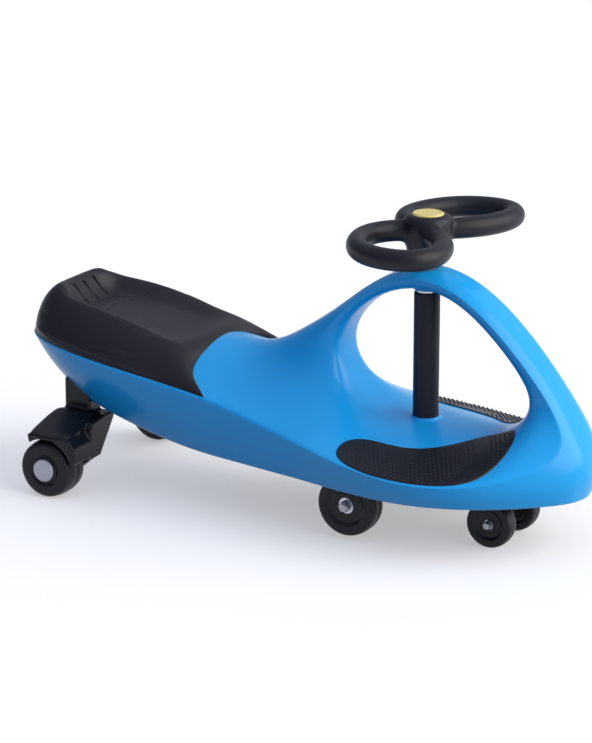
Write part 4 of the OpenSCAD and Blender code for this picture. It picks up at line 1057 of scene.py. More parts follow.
    def groove(self, k: int, skin: BVHTree) -> Piece:
        """Cutter for one backrest groove: a bar with round ends along the backrest's slope.

        Args:
            k: Number of the groove counted from the middle.
            skin: Search tree of the seat in metres.

        Returns:
            The cutter.
        """
        y, half = k * self.groove_pitch * MM, self.groove_len / 2 * MM
        ends = []
        for shift in (-self.slope_at, self.slope_at):
            x = (self.groove_x + shift * self.groove_len + AXIS_X) * MM
            ends.append(skin.ray_cast(Vector((x, y, SKY)), DOWN)[0])
        mid = (ends[0] + ends[1]) / 2
        slope = math.atan2(ends[0].z - ends[1].z, ends[1].x - ends[0].x)
        clear_selection()
        bpy.ops.mesh.primitive_uv_sphere_add(segments=24, ring_count=12, radius=self.groove_w / 2 * MM)
        bar = bpy.context.object
        bar.name = "backrest_groove"
        bpy.ops.object.mode_set(mode="EDIT")
        bpy.ops.mesh.select_all(action="SELECT")
        bpy.ops.mesh.bisect(plane_co=(0.0, 0.0, 0.0), plane_no=(1.0, 0.0, 0.0))
        bpy.ops.object.mode_set(mode="OBJECT")
        for v in bar.data.vertices:
            x = v.co.x + math.copysign(half, v.co.x) if abs(v.co.x) > WELD / 10 else 0.0
            v.co = (
                mid.x + x * math.cos(slope) + v.co.z * math.sin(slope),
                mid.y + v.co.y,
                mid.z - x * math.sin(slope) + v.co.z * math.cos(slope),
            )
        return bar

    def dress(self, seat: Piece) -> None:
        """Gives the seat its finish and place."""
        fit(seat, Rig.CHASSIS.value, SEAT_PP, "seat_black", "seat")


@dataclass
class FootPads:
    """The two non-slip mats let into the deck, with their dots and the places that have none."""

    lines: HullLines
    proud: float = 1.6
    sunk: float = 2.4
    slack: float = 0.15
    above: float = 14.0
    middle: float = 0.12
    look_from: float = 175.0
    pitch: float = 6.4
    row_share: float = 0.866
    dot: float = 2.8
    dot_high: float = 1.4
    border: float = 4.5
    oval_at: Tuple[float, float] = (22.0, -101.0)
    oval: Tuple[float, float] = (34.0, 17.0)
    oval_out: float = -122.0
    band_at: Tuple[float, float] = (112.0, -88.0)
    band_half: float = 40.0
    band_bow: float = 14.0
    band_w: Tuple[float, float] = (-4.0, 12.0)
    flare: Tuple[float, float] = (-60.0, 0.35)

    # Outline of the right mat as shares of the body length and of the half width
    OUTLINE = np.array([
        [-0.0650, 0.912], [-0.0175, 0.978], [0.0312, 0.984], [0.0800, 0.950], [0.1290, 0.869],
        [0.1620, 0.740], [0.1810, 0.560], [0.1900, 0.370], [0.1800, 0.225], [0.1560, 0.160],
        [0.1280, 0.170], [0.1030, 0.300], [0.0750, 0.440], [0.0425, 0.540], [0.0050, 0.580],
        [-0.0330, 0.572], [-0.0660, 0.620], [-0.0780, 0.770],
    ])
    # Rings of the mat as shares of its outline: top, rounded edge with its height shares, underside
    TOP = (0.06, 0.2, 0.35, 0.5, 0.65, 0.8, 0.9, 0.955)
    EDGE = ((0.985, 0.9), (0.997, 0.55), (1.0, 0.0))
    UNDER = (1.0, 0.5, 0.06)
    # A dot from its foot up: radius and height shares
    STUD = ((1.0, -2 / 7), (0.92, 0.35), (0.55, 0.85))

    def prepare(self, deck: BVHTree) -> "FootPads":
        """Keeps the deck's surface to lay the mats on.

        Args:
            deck: Search tree of the body's skin in metres.

        Returns:
            This object.
        """
        self.deck = deck
        shares = self.OUTLINE * np.array((self.lines.length, -self.lines.width / 2))
        self.line = closed_curve(shares, 10)
        self.mid = self.line.mean(0)
        return self

    def deck_z(self, x: float, y: float) -> float:
        """Height of the deck at a place, in millimetres."""
        hit = self.deck.ray_cast(Vector(((x + AXIS_X) * MM, y * MM, self.look_from * MM)), DOWN)
        return hit[0].z / MM if hit[0] is not None else 0.0

    def ring(self, k: float, z: float, grow: float = 0.0) -> List[Point]:
        """Ring of the mat at a share of its outline, at a height above the deck.

        Args:
            k: Share of the outline's distance from the middle.
            z: Height above the deck.
            grow: Extra distance outward.

        Returns:
            The ring's points.
        """
        out = []
        for p in self.line:
            r = p - self.mid
            q = self.mid + r * (k + grow / np.linalg.norm(r))
            out.append((q[0], q[1], self.deck_z(*(self.mid + r * min(k, 1.0))) + z))
        return out

    def stack(self, name: str, rings: List[List[Point]]) -> Piece:
        """Closed skin over a row of rings."""
        return from_points(name, [p for r in rings for p in r], wrap(len(rings), len(rings[0])))

    def recess(self, name: str) -> Piece:
        """Cutter for the right mat's recess."""
        low, grow, middle = -self.sunk - self.slack, self.slack, self.middle
        rings = [self.ring(middle, self.above), self.ring(1.0, self.above, grow), self.ring(1.0, low, grow)]
        return self.stack(name, rings + [self.ring(0.5, low), self.ring(middle, low)])

    def bare(self, x: float, y: float) -> bool:
        """Tells whether a place carries no dot: by the border, in the oval or in the curved band."""
        if min(np.hypot(self.line[:, 0] - x, self.line[:, 1] - y)) < self.border:
            return True
        out = np.hypot((x - self.oval_at[0]) / self.oval[0], (y - self.oval_at[1]) / self.oval[1])
        if out < 1 and y > self.oval_out:
            return True
        ahead = x - self.band_at[0] + ((y - self.band_at[1]) / self.band_half) ** 2 * self.band_bow
        return self.band_w[0] < ahead < self.band_w[1] + max(0.0, (self.flare[0] - y) * self.flare[1])

    def inside(self, x: float, y: float) -> bool:
        """Tells whether a place lies inside the right mat's outline."""
        a, b = self.line, np.roll(self.line, -1, axis=0)
        cross = (a[:, 1] > y) != (b[:, 1] > y)
        at = a[:, 0] + (y - a[:, 1]) / np.where(cross, b[:, 1] - a[:, 1], 1.0) * (b[:, 0] - a[:, 0])
        return bool(np.count_nonzero(cross & (x < at)) % 2)

    def build(self) -> Piece:
        """Models the right mat with its rounded edge and dots."""
        rings = [self.ring(k, self.proud) for k in self.TOP]
        rings += [self.ring(k, self.proud * high) for k, high in self.EDGE]
        rings += [self.ring(k, -self.sunk) for k in self.UNDER]
        mat = smooth(self.stack("pad_mat", rings), 40)
        lo, hi = self.line.min(0), self.line.max(0)
        spots = []
        for row, y in enumerate(np.arange(lo[1], hi[1], self.pitch * self.row_share)):
            for x in np.arange(lo[0] + row % 2 * self.pitch / 2, hi[0], self.pitch):
                if self.inside(x, y) and not self.bare(x, y):
                    spots.append((x, y, self.deck_z(x, y) + self.proud))
        dots = self.dots(spots)
        take(mat)
        dots.select_set(True)
        bpy.ops.object.join()
        return mat

    def dots(self, spots: List[Point], sides: int = 8) -> Piece:
        """Small round-topped studs.

        Args:
            spots: Their places on the mat's face.
            sides: Facets round each.

        Returns:
            The studs as one object.
        """
        turns = [2 * math.pi * k / sides for k in range(sides)]
        tip = len(self.STUD) * sides
        stud = wrap(len(self.STUD), sides)[:-1]
        stud += [[tip - sides + k, tip - sides + (k + 1) % sides, tip] for k in range(sides)]
        points, faces = [], []
        for x, y, z in spots:
            faces += [[len(points) + k for k in face] for face in stud]
            for wide, high in self.STUD:
                r, up = wide * self.dot / 2, z + high * self.dot_high
                points += [(x + r * math.cos(a), y + r * math.sin(a), up) for a in turns]
            points.append((x, y, z + self.dot_high))
        return smooth(from_points("pad_dots", points, faces), 60)

    def dress(self, mat: Piece) -> None:
        """Gives both mats their finish and place."""
        mat.name = "foot_mat_right"
        other = mirrored(mat, "foot_mat_left")
        fit(mat, Rig.CHASSIS.value, PAD_RUBBER, "pad_rubber", "foot_pad_right")
        fit(other, Rig.CHASSIS.value, PAD_RUBBER, "pad_rubber", "foot_pad_left")


@dataclass
class BodyShell:
    """The blue body: hull, deck, arch and apron in one skin."""

    lines: HullLines
    levels: int = 4
    deck_face: float = 137.0
    arch_face: float = 312.0
    bush: float = 24.0
    bush_slack: float = 0.1
    bore_low: float = 60.0
    bore_high: float = 352.0
    boss: float = 38.0
    boss_high: float = 16.0
    boss_round: float = 2.5
    collar_lift: float = 4.5
    sleeve: float = 33.0
    sleeve_slack: float = 0.7
    sleeve_deep: float = 14.0
    pan: float = 85.0
    pan_thick: float = 4.0
    pan_inset: float = 7.0
    hollow_inset: float = 18.0
    hollow_high: float = 9.0
    over: float = 2.0
    below: float = 30.0

    # Collar round the sleeve on the deck: radius, height and rounding of its corners
    COLLAR = ((0, -4, 0), (24, -4, 0), (23, 0.2, 0.2), (19.5, 1.2, 3.0), (17.6, 4.2, 0.5), (0, 4.2, 0))

    def skin(self) -> Piece:
        """Rounds the cage into the smooth outer skin."""
        body = from_points("body_moulding", self.lines.points, self.lines.faces)
        edges = [tuple(sorted(edge.vertices)) for edge in body.data.edges]
        weights = np.array([self.lines.creases.get(edge, 0.0) for edge in edges], np.float32)
        body.data.edge_creases_ensure().data.foreach_set("value", weights)
        change(body, "SUBSURF", levels=self.levels, render_levels=self.levels)
        return body

    def search(self, body: Piece) -> BVHTree:
        """Search tree of the skin, for laying pieces on it."""
        points = [v.co.copy() for v in body.data.vertices]
        return BVHTree.FromPolygons(points, [tuple(p.vertices) for p in body.data.polygons])

    def carve(self, body: Piece, cutters: Sequence[Piece]) -> Piece:
        """Adds boss and collar and cuts the recesses, bores and the open underside.

        Args:
            body: The skin.
            cutters: Recesses of the seat and the mats.

        Returns:
            The same object.
        """
        deck, arch, r, roof = self.deck_face, self.arch_face, self.boss / 2, self.pan + self.pan_thick
        boss = rounded([(0, 0, 0), (r, 0, self.boss_round), (r, self.boss_high, 0), (0, self.boss_high, 0)])
        combine(body, turned("arch_boss", boss, (0, 0, arch), Axle.UPRIGHT), "UNION")
        collar = turned("deck_collar", rounded(self.COLLAR), (0, 0, deck + self.collar_lift), Axle.UPRIGHT)
        combine(body, collar, "UNION")
        for cutter in cutters:
            combine(body, cutter)
        bush = self.bush + self.bush_slack
        combine(body, drum("deck_bore", bush, self.bore_low, deck + self.over / 2))
        combine(body, drum("deck_seat", self.sleeve + self.sleeve_slack, deck, deck + self.sleeve_deep))
        combine(body, drum("arch_bore", bush, arch - self.over, self.bore_high))
        combine(body, prism("pan_recess", self.lines.cover_line(self.pan_inset), self.pan - self.below, roof))
        hollow = self.lines.cover_line(self.hollow_inset)
        combine(body, prism("deck_hollow", hollow, self.pan + self.over, roof + self.hollow_high))
        return smooth(body, 32)

    def dress(self, body: Piece) -> None:
        """Gives the body its finish and place."""
        fit(body, Rig.CHASSIS.value, BLUE_PP, "body_blue", "body_shell")


@dataclass
class WheelSize:
    """Sizes of one kind of wheel, in millimetres."""

    word: str
    x: float
    y: float
    z: float
    across: float
    width: float
    rim: float
    rounding: float
    dish: float
    bore: float
    pocket: float
    pocket_z: float
    boss_z: float
    window: float
    lip: float


@dataclass
class Wheel:
    """A small solid wheel: tread, dished hub and what its middle shows."""

    size: WheelSize
    seam: float = 0.25
    seam_half: float = 0.7
    shoulder: float = 0.15
    rim_play: float = 0.05
    lip_in: float = 1.5
    wall: float = 3.0
    face_share: float = 0.45
    face_slope: float = 4.0

    @property
    def centre(self) -> Point:
        """Middle of the right wheel."""
        return (self.size.x, -self.size.y, self.size.z)

    def turn(self, name: str, corners: Sequence[Corner], steps: int, facets: int = 128) -> Piece:
        """Turns a piece of the right wheel.

        Args:
            name: The object's name.
            corners: Corners of its profile, counted outward from the wheel's middle.
            steps: Pieces in each rounding.
            facets: Facets round the axle.

        Returns:
            The new object.
        """
        return turned(name, rounded(corners, steps), self.centre, Axle.ACROSS, Side.RIGHT, facets)

    def tread(self) -> Piece:
        """Turns the right tread with its round shoulders and moulding line."""
        s = self.size
        r, w, inner, bend = s.across / 2, s.width / 2, s.rim / 2, s.rounding
        side, low = r - bend * self.shoulder, r - self.seam
        corners = [
            (inner, -w, 0), (side, -w, bend), (r, -w + bend, bend), (r, -self.seam_half, 0),
            (low, -self.seam, 0.1), (low, self.seam, 0.1),
            (r, self.seam_half, 0), (r, w - bend, bend), (side, w, bend), (inner, w, 0),
        ]
        return self.turn(f"{s.word}_tread_right", corners, 8)

    def hub(self) -> Piece:
        """Turns the right hub with its dished faces and boss."""
        s = self.size
        w, bore, post, window = s.width / 2, s.bore / 2, s.pocket / 2, s.window / 2
        rim, lip, wall = s.rim / 2 - self.rim_play, s.rim / 2 - self.lip_in, post + self.wall
        back, face, top, ledge = s.dish - w, w - s.dish * self.face_share, s.boss_z + s.lip, s.boss_z + 0.1
        corners = [
            (bore, 1 - w, 0.5), (wall, 1 - w, 1.0), (wall + 0.5, back, 1.5), (lip - 0.8, back, 1.5),
            (lip, -w, 0.8), (rim, -w, 0.3), (rim, w, 0.3), (lip, w, 2.0), (lip - self.face_slope, face, 3.0),
            (wall + 2.5, face, 2.0), (wall, top, 1.0), (window, top, 0.5),
            (window, ledge, 0), (post, ledge, 0), (post, s.pocket_z, 0), (bore, s.pocket_z, 0),
        ]
        return self.turn(f"{s.word}_hub_right_moulded", corners, 5)

    def dress(self, pieces: Dict[str, Piece]) -> None:
        """Copies the right wheel's pieces to the left and dresses both.

        Args:
            pieces: The right pieces by the CAD node's stem.
        """
        looks = {
            "tyre": (TREAD_PU, "tyre_black"), "hub": (LEG_PP, "black_plastic"),
            "bearing": (BRIGHT_STEEL, "bright_steel"), "cap": (SILVER_PAINT, "cap_silver"),
        }
        for stem, piece in pieces.items():
            finish, slot = looks[stem]
            node = "hub_cap_" if stem == "cap" else f"{self.size.word}_{stem}_"
            other = mirrored(piece, piece.name.replace("right", "left"))
            fit(piece, f"{self.size.word}_wheel_right", finish, slot, node + "right")
            fit(other, f"{self.size.word}_wheel_left", finish, slot, node + "left")


@dataclass
class BearingWheel(Wheel):
    """A wheel on a ball bearing, held by a nut."""

    race: float = 2.2
    thick: float = 8.0
    shaft: float = 10.0
    seal_deep: float = 0.8
    seal_slope: float = 0.3

    def bearing(self) -> Piece:
        """Turns the right bearing: two bright rings round a sunk seal."""
        out, bore = self.size.pocket / 2 - 0.02, self.shaft / 2 + 0.05
        low, top = self.size.pocket_z, self.size.pocket_z + self.thick
        first, last, seal = out - self.race, bore + self.race, top - self.seal_deep
        corners = [
            (bore, low, 0.3), (out, low, 0.4), (out, top, 0.5), (first, top, 0.4),
            (first - self.seal_slope, seal, 0.2), (last + self.seal_slope, seal, 0.2),
            (last, top, 0.4), (bore, top, 0.4),
        ]
        return self.turn(f"{self.size.word}_bearing_right_turned", corners, 3, 96)

    def build(self) -> None:
        """Models and dresses both wheels of this kind."""
        self.dress({"tyre": self.tread(), "hub": self.hub(), "bearing": self.bearing()})


@dataclass
class CappedWheel(Wheel):
    """A rear wheel on a pin, with a round cap over the pin's end."""

    cap: float = 30.0
    dome: float = 3.0
    plug_in: float = 3.02
    plug_deep: float = 3.0

    def cap_piece(self) -> Piece:
        """Turns the right cap: a flat disc with a raised rounded border and a plug."""
        w, r = self.size.width / 2, self.cap / 2
        plug, low, top = r - self.plug_in, w - self.plug_deep, w + self.dome
        corners = [
            (0, low, 0), (plug, low, 0), (plug, w, 0), (r, w, 0.3), (r, top - 0.6, 1.2),
            (r - 1.6, top, 0.8), (r - 2.6, top - 0.5, 0.5), (0, top - 0.3, 0),
        ]
        return self.turn("hub_cap_right_disc", corners, 5, 96)

    def build(self) -> None:
        """Models and dresses both rear wheels."""
        self.dress({"tyre": self.tread(), "hub": self.hub(), "cap": self.cap_piece()})


@dataclass
class SteeringWheel:
    """The two-looped steering wheel on its hub, with the round cap."""

    width: float = 308.0
    loop: float = 116.0
    tube: float = 28.0
    back: float = 19.0
    sweep: float = 0.27
    height: float = 386.0
    hub: float = 60.0
    foot: float = 44.0
    foot_z: float = 344.4
    hub_top: float = 18.0
    collar: float = 4.0
    cap: float = 40.0
    cap_high: float = 6.0
    cap_sink: float = 4.0
    cap_slack: float = 0.1
    shaft: float = 16.0
    floor: float = 3.0
    over: float = 10.0
    voxel: float = 1.5
    rounds: int = 50

    # Middle line of a grip loop as shares of the loop's length and of the half width
    LOOP = np.array([
        [0, 0.03], [0.30, 0.17], [0.52, 0.46], [0.47, 0.86], [0.20, 1.06],
        [-0.20, 1.06], [-0.47, 0.86], [-0.52, 0.46], [-0.30, 0.17],
    ])

    def loop_tube(self, side: Side, sides: int = 32) -> Piece:
        """Sweeps one grip loop's tube.

        Args:
            side: The side that the loop lies on.
            sides: Facets round the tube.

        Returns:
            The new object.
        """
        y = self.LOOP[:, 1] * (self.width - self.tube) / 2
        lead = np.stack([self.LOOP[:, 0] * self.loop + self.sweep * y - self.back, side.value * y], -1)
        line = closed_curve(lead, 16)
        n, r = len(line), self.tube / 2
        points = []
        for i in range(n):
            g = line[(i + 1) % n] - line[i - 1]
            o = np.array((g[1], -g[0])) / np.linalg.norm(g) * r
            for a in (2 * math.pi * k / sides for k in range(sides)):
                x, y = line[i] + o * math.cos(a)
                points.append((x, y, self.height + r * math.sin(a)))
        return from_points("grip_loop_" + side.word, points, wrap(n, sides, endless=True))

    def build(self) -> Piece:
        """Models the wheel: loops and hub flow into each other, then the cap's seat and the bore are cut."""
        top, low, r = self.height + self.hub_top, self.height - self.tube / 2, self.hub / 2
        profile = rounded([
            (0, self.foot_z, 0), (self.foot / 2, self.foot_z, 2), (r - 1, low, 4), (r + 1, top - 4, 3),
            (r - 3, top + self.collar, 4), (0, top + self.collar, 0),
        ])
        wheel = turned("steering_wheel_moulding", profile, (0, 0, 0), Axle.UPRIGHT)
        for side in Side:
            combine(wheel, self.loop_tube(side), "UNION")
        flow(wheel, self.voxel, self.rounds)
        seat = top - self.cap_sink
        combine(wheel, drum("cap_seat", self.cap + self.cap_slack, seat, top + self.over))
        combine(wheel, drum("shaft_bore", self.shaft, self.foot_z - self.over / 2, seat - self.floor))
        return smooth(wheel, 50)

    def cap_piece(self) -> Piece:
        """Turns the round cap with its rounded edge and faint raised border."""
        r, h = self.cap / 2, self.cap_sink + self.cap_high
        corners = [
            (0, 0, 0), (r, 0, 0.5), (r, h - 1.2, 1.6), (r - 2.0, h, 1.0),
            (r - 3.2, h - 0.4, 0.6), (0, h - 0.2, 0),
        ]
        z = self.height + self.hub_top - self.cap_sink
        return turned("steering_cap_disc", rounded(corners, 5), (0, 0, z), Axle.UPRIGHT)

    def dress(self, wheel: Piece, cap: Piece) -> None:
        """Gives the wheel and its cap their finishes and place."""
        fit(wheel, Rig.STEERING.value, GRIP_PP, "wheel_black", "steering_wheel")
        fit(cap, Rig.STEERING.value, CAP_ABS, "cap_yellow", "steering_cap")


@dataclass
class Column:
    """The sleeve over the steering shaft between deck and arch."""

    width: float = 33.0
    low: float = 140.35
    high: float = 308.65
    bore: float = 16.0

    def build(self) -> Piece:
        """Turns the sleeve with its rounded ends."""
        r, h, bore = self.width / 2, self.high - self.low, self.bore / 2
        corners = [(bore, 0, 0.3), (r - 0.4, 0, 1.2), (r, 4, 0.6), (r, h, 2.0), (bore, h, 0.3)]
        return turned("column_sleeve_moulding", rounded(corners, 4), (0, 0, self.low), Axle.UPRIGHT)

    def dress(self, sleeve: Piece) -> None:
        """Gives the sleeve its finish and place."""
        fit(sleeve, Rig.STEERING.value, SLEEVE_PP, "black_plastic", "column_sleeve")


def arc(radius: float, degrees: Sequence[int]) -> Profile:
    """Points of a circle at the given angles."""
    return [(radius * math.cos(math.radians(a)), radius * math.sin(math.radians(a))) for a in degrees]


@dataclass
class Leg:
    """A rear leg: post, knee, fender arm and axle block in one moulding."""

    post_y: float = 70.0
    reach: float = 162.0
    fender: float = 79.0
    rise: float = 36.0
    x: float = -472.0
    long: float = 64.0
    thick: float = 40.0
    post: Tuple[float, float] = (38.0, 28.0)
    post_top: float = 145.0
    axle_x: float = -478.0
    axle_z: float = 38.5
    in_y: float = 96.0
    out_y: float = 114.65
    boss: float = 44.0
    pin: float = 12.1
    block_lead: float = 8.0
    tyre_clear: float = 41.5
    hood_low: float = 12.0
    hood_slant: Tuple[float, float] = (8.0, 12.0)
    hood_in: float = 10.0
    hood_out: float = 5.0
    web_back: float = 0.42
    over: float = 6.0
    voxel: float = 1.2
    rounds: int = 14

    # Stations of the arm: reach and rise shares, half length and half thickness shares, lean in degrees
    ARM = (
        (0.00, 0.72, 0.32, 0.40, 0), (0.04, 0.52, 0.37, 0.50, 22), (0.20, 0.40, 0.44, 0.50, 58),
        (0.46, 0.33, 0.50, 0.29, 82), (0.74, 0.22, 0.50, 0.18, 98), (1.00, 0.12, 0.47, 0.11, 100),
    )
    CORNERS = ((1, 0.5), (0.72, 1), (-0.72, 1), (-1, 0.5), (-1, -0.5), (-0.72, -1), (0.72, -1), (1, -0.5))
    # Section of the slanted web: distance from the centre line and height
    WEB = ((56, 100), (56, 92), (90, 48), (110, 48), (110, 96), (80, 100))

    @property
    def front(self) -> float:
        """Place of the leg's front face ahead of the axle."""
        return self.x - self.axle_x + self.long / 2 + self.block_lead

    @property
    def rear(self) -> float:
        """Place of the leg's rear face ahead of the axle."""
        return self.x - self.axle_x - self.long / 2

    def arm(self) -> Piece:
        """Rounds the fender arm's cage into a smooth form."""
        points = []
        for y_share, z_share, long, thick, lean in self.ARM:
            y = self.post_y + (self.reach - self.post_y) * y_share
            z = self.fender + self.rise * z_share
            cos, sin = math.cos(math.radians(lean)), math.sin(math.radians(lean))
            for a, b in self.CORNERS:
                d = b * thick * self.thick
                points.append((self.x + a * long * self.long, -(y + d * cos), z + d * sin))
        arm = from_points("leg_arm", points, wrap(len(self.ARM), len(self.CORNERS)))
        change(arm, "SUBSURF", levels=3, render_levels=3)
        return arm

    def block(self) -> Piece:
        """Plate on the wheel's inner side that carries the axle pin."""
        r, high = self.boss / 2, self.fender + self.rise / 3 - self.axle_z
        outline = arc(r, range(180, 301, 10))
        outline += [(self.front, r / 2), (self.front, high)]
        outline += [(self.rear, high), (self.rear, self.fender - self.axle_z)]
        return self.slice("leg_block", outline, self.in_y, self.out_y)

    def hood(self) -> Piece:
        """Fills the arm down to the tyre: a solid guard over the wheel's top and front."""
        high = self.fender + self.rise / 6 - self.axle_z
        back, down = self.hood_slant
        outline = [(self.rear, high), (self.front - back, high)]
        outline += [(self.front, high - down), (self.front, self.hood_low)]
        outline += arc(self.tyre_clear, range(17, 131, 6))
        return self.slice("leg_hood", outline, self.out_y - self.hood_in, self.reach - self.hood_out)

    def web(self) -> Piece:
        """Slanted web from the knee down to the axle block."""
        low, high = self.x - self.long * self.web_back, self.axle_x + self.front
        points = [(x, -y, z) for x in (low, high) for y, z in self.WEB]
        return from_points("leg_web", points, wrap(2, len(self.WEB)))

    def slice(self, name: str, outline: Profile, low: float, high: float) -> Piece:
        """Slab across the car from an outline about the axle.

        Args:
            name: The object's name.
            outline: Places ahead of and above the axle.
            low: Distance of the inner face from the centre line.
            high: Distance of the outer face.

        Returns:
            The new object.
        """
        points = [(self.axle_x + x, -y, self.axle_z + z) for y in (low, high) for x, z in outline]
        return from_points(name, points, wrap(2, len(outline)))

    def build(self) -> Piece:
        """Models the right leg: its pieces flow together, then the pin's bore is cut."""
        leg = self.arm()
        for piece in (self.hood(), self.web()):
            combine(leg, piece, "UNION")
        w, d = self.post[0] / 2, self.post[1] / 2
        outline = [(self.x + a * w, -self.post_y + b * d) for a, b in ((-1, -1), (1, -1), (1, 1), (-1, 1))]
        combine(leg, prism("leg_post", outline, self.fender + self.rise / 2, self.post_top), "UNION")
        combine(leg, self.block(), "UNION")
        flow(leg, self.voxel, self.rounds)
        r, low, high = self.pin / 2, self.in_y - self.over, self.out_y + self.over
        bore = [(0, low), (r, low), (r, high), (0, high)]
        combine(leg, turned("pin_bore", bore, (self.axle_x, 0, self.axle_z), Axle.ACROSS, Side.RIGHT, 64))
        return smooth(leg, 50)

    def dress(self, leg: Piece) -> None:
        """Copies the right leg to the left and dresses both."""
        leg.name = "leg_right_moulding"
        other = mirrored(leg, "leg_left_moulding")
        fit(leg, Rig.CHASSIS.value, LEG_PP, "black_plastic", "leg_right")
        fit(other, Rig.CHASSIS.value, LEG_PP, "black_plastic", "leg_left")


@dataclass
class Hardware:
    """Pieces that keep their CAD form, with softened edges and real finishes."""

    nut_share: float = 0.72

    # Width of the softened edges by CAD node
    SOFT = {
        "upper_bush": 0.4, "lower_bush": 0.4, "front_bracket": 1.2, "side_bracket_right": 1.0,
        "side_bracket_left": 1.0, "side_nut_right": 0.5, "side_nut_left": 0.5, "front_nuts": 0.45,
        "side_bolt_right": 0.5, "side_bolt_left": 0.5, "underbody_cover": 0.8, "front_axle": 0.4,
    }

    def look(self, node: str) -> Tuple[Finish, str]:
        """Finish and material slot of a node."""
        if "bracket" in node or "cover" in node:
            return LEG_PP, "black_plastic"
        return (BRIGHT_STEEL, "bright_steel") if "bush" in node else (ZINC_STEEL, "steel")

    def shrink(self, piece: Piece, share: float) -> None:
        """Narrows a nut about its axle.

        Args:
            piece: The nut or pair of nuts.
            share: Share of the width that is left.
        """
        low, high = np.array(piece.bound_box).min(0), np.array(piece.bound_box).max(0)
        mid = Vector((low + high) / 2)
        about = Matrix.Translation(mid) @ Matrix.Diagonal((share, 1.0, share, 1.0)) @ Matrix.Translation(-mid)
        piece.data.transform(about)

    def body_of(self, node: str) -> str:
        """Name of the CAD body that holds a node."""
        groups = frame["record"]["behaviour"]["bodies"]
        return next(name for name, members in groups.items() if node in members)

    def build(self) -> None:
        """Softens the listed nodes and dresses every node that still shows."""
        for node, width in self.SOFT.items():
            piece = softened(node, width)
            if "nut" in node:
                self.shrink(piece, self.nut_share)
            fit(piece, self.body_of(node), *self.look(node), node)
        for node, piece in frame["nodes"].items():
            if not piece.hide_render:
                piece.data.materials.clear()
                piece.data.materials.append(ZINC_STEEL.material())
                smooth(piece, 30)
                LOG.info("%s keeps its CAD form", node)


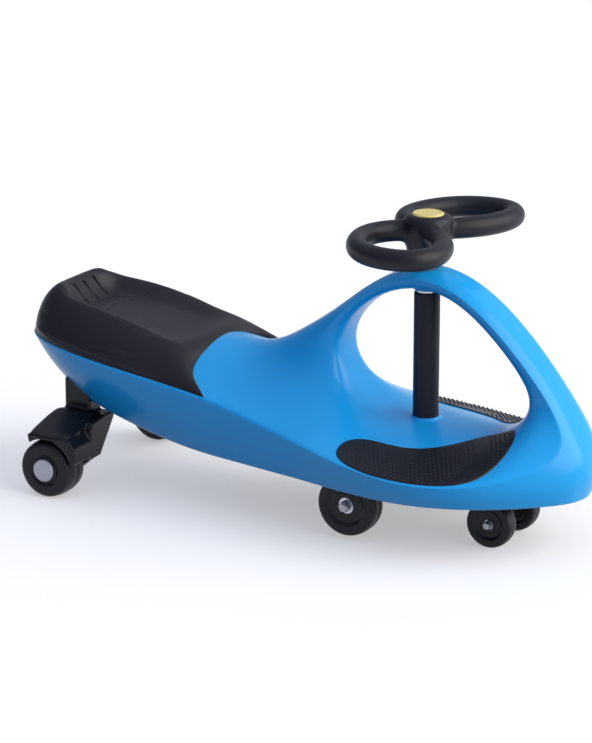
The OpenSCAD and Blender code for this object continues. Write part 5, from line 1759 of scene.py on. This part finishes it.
@dataclass
class Studio:
    """Pale floor, soft light and the camera."""

    camera_at: Point = (1.8406, -3.3465, 1.3459)
    right: Point = (0.8738, 0.4863, 0.0)
    up: Point = (-0.1422, 0.2555, 0.9563)
    back: Point = (0.4651, -0.8356, 0.2924)
    lens: float = 150.0
    ambient: Tuple[float, float] = (0.22, 0.86)
    bright_way: Point = (0.958, 0.287, 0.0)
    near_sky: Colour = (0.74, 0.88, 1.40, 1.0)
    far_sky: Colour = (0.92, 0.96, 1.06, 1.0)
    glow: Colour = (1.0, 0.96, 0.86, 1.0)
    paper: Tuple[str, str] = ("#CFCFCF", "#CCCCCC")
    paper_bounce: str = "#9A9A9A"
    paper_glow: float = 0.4
    fleck_mm: float = 2.5
    floor_size: float = 60.0

    # Broad lamps: name, direction from the car, light on a square surface, apparent width in degrees
    LAMPS = (("key", (1.0, 0.2, 0.48), 3.3, 70.0), ("top", (-0.1, -0.1, 1.0), 0.3, 90.0))

    def camera(self) -> None:
        """Sets the camera at the photograph's viewing angle."""
        data = bpy.data.cameras.new("camera")
        data.lens = self.lens
        data.sensor_width = 36.0
        data.clip_end = 100.0
        made = bpy.data.objects.new("camera", data)
        bpy.context.scene.collection.objects.link(made)
        turn = Matrix((self.right, self.up, self.back)).transposed()
        made.matrix_world = Matrix.Translation(self.camera_at) @ turn.to_4x4()
        bpy.context.scene.camera = made

    def sun(self, name: str, toward: Point, strength: float, angle: float) -> None:
        """Adds a broad even light.

        Args:
            name: The lamp's name.
            toward: Direction from the car to the lamp.
            strength: Light on a square surface.
            angle: Apparent width in degrees, which softens the shadows.
        """
        data = bpy.data.lights.new(name, "SUN")
        data.energy = strength
        data.color = self.glow[:3]
        data.angle = math.radians(angle)
        made = bpy.data.objects.new(name, data)
        made.rotation_mode = "QUATERNION"
        made.rotation_quaternion = Vector(toward).to_track_quat("Z", "Y")
        bpy.context.scene.collection.objects.link(made)

    def world(self) -> None:
        """Lights the car from all round: dimmer from the rear, bluer from the camera's side."""
        world = bpy.data.worlds.new("studio")
        bpy.context.scene.world = world
        world.use_nodes = True
        tree = world.node_tree
        tree.nodes.clear()
        way = add_node(tree, "ShaderNodeTexCoord").outputs["Generated"]
        toward = {"operation": "DOT_PRODUCT", 1: self.bright_way}
        ahead = add_node(tree, "ShaderNodeVectorMath", toward, {0: way})
        sides = add_node(tree, "ShaderNodeSeparateXYZ", {}, {"Vector": way})
        whole = {"From Min": -1.0, "From Max": 1.0}
        limits = {**whole, "To Min": self.ambient[0], "To Max": self.ambient[1]}
        level = add_node(tree, "ShaderNodeMapRange", limits, {"Value": ahead.outputs["Value"]})
        share = add_node(tree, "ShaderNodeMapRange", whole, {"Value": sides.outputs["Y"]})
        tint = mixed(tree, self.near_sky, self.far_sky, share.outputs[0])
        light = add_node(tree, "ShaderNodeBackground", {}, {"Color": tint, "Strength": level.outputs[0]})
        add_node(tree, "ShaderNodeOutputWorld", {}, {"Surface": light.outputs[0]})

    def floor(self) -> None:
        """Lays the pale floor: white to the eye and in reflections, greyer where it throws light back."""
        clear_selection()
        bpy.ops.mesh.primitive_grid_add(x_subdivisions=8, y_subdivisions=8, size=self.floor_size)
        made = bpy.context.object
        made.name = "floor"
        paper, tree, place = blank_material("white_studio_paper")
        fleck = speckle(tree, place, self.fleck_mm, 2.0)
        white = mixed(tree, linear(self.paper[0]), linear(self.paper[1]), fleck)
        path = add_node(tree, "ShaderNodeLightPath").outputs
        seen = path["Is Camera Ray"]
        for ray in ("Is Glossy Ray", "Is Transmission Ray"):
            either = add_node(tree, "ShaderNodeMath", {"operation": "MAXIMUM"}, {0: seen, 1: path[ray]})
            seen = either.outputs[0]
        bounce = {"data_type": "RGBA", 6: linear(self.paper_bounce)}
        tint = add_node(tree, "ShaderNodeMix", bounce, {0: seen, 7: white})
        shine = add_node(tree, "ShaderNodeMath", {"operation": "MULTIPLY", 1: self.paper_glow}, {0: seen})
        shader = add_node(
            tree, "ShaderNodeBsdfPrincipled",
            {"Roughness": 0.9, "Specular IOR Level": 0.1, "Emission Color": (1.0, 1.0, 1.0, 1.0)},
            {"Base Color": tint.outputs[2], "Emission Strength": shine.outputs[0]},
        )
        add_node(tree, "ShaderNodeOutputMaterial", {}, {"Surface": shader.outputs[0]})
        made.data.materials.append(paper)

    def build(self) -> None:
        """Sets floor, light and camera."""
        self.floor()
        self.world()
        for lamp in self.LAMPS:
            self.sun(*lamp)
        self.camera()
        bpy.context.scene.view_settings.view_transform = "Standard"


FRONT = WheelSize(
    "front", x=112.0, y=36.0, z=31.0, across=62.0, width=22.0, rim=44.64, rounding=8.0, dish=6.0,
    bore=9.0, pocket=19.0, pocket_z=2.0, boss_z=8.0, window=15.0, lip=0.8,
)
SIDE = WheelSize(
    "side", x=-56.0, y=96.0, z=47.0, across=81.0, width=30.0, rim=56.7, rounding=9.0, dish=6.0,
    bore=11.0, pocket=26.0, pocket_z=4.0, boss_z=12.0, window=21.0, lip=1.0,
)
REAR = WheelSize(
    "rear", x=-478.0, y=136.0, z=38.5, across=77.0, width=42.0, rim=47.74, rounding=14.0, dish=4.0,
    bore=12.1, pocket=24.0, pocket_z=12.0, boss_z=21.0, window=24.0, lip=0.0,
)
WHEELS = (
    BearingWheel(FRONT, race=3.6, thick=6.0, shaft=8.0),
    BearingWheel(SIDE, race=4.2, thick=8.0, shaft=10.0),
    CappedWheel(REAR),
)


def main() -> None:
    """Builds the car's pieces in order and sets the studio."""
    logging.basicConfig(level=logging.INFO, format="%(message)s")
    lines = HullLines().draw()
    shell = BodyShell(lines)
    body = shell.skin()
    saddle = Saddle(lines).prepare()
    pads = FootPads(lines).prepare(shell.search(body))
    right = pads.recess("pad_recess_right")
    left = mirrored(right, "pad_recess_left")
    shell.carve(body, [saddle.recess(), right, left])
    shell.dress(body)
    saddle.dress(saddle.build())
    pads.dress(pads.build())
    for wheel in WHEELS:
        wheel.build()
    steering = SteeringWheel()
    steering.dress(steering.build(), steering.cap_piece())
    column = Column()
    column.dress(column.build())
    leg = Leg()
    leg.dress(leg.build())
    Hardware().build()
    Studio().build()


if __name__ == "__main__":
    main()
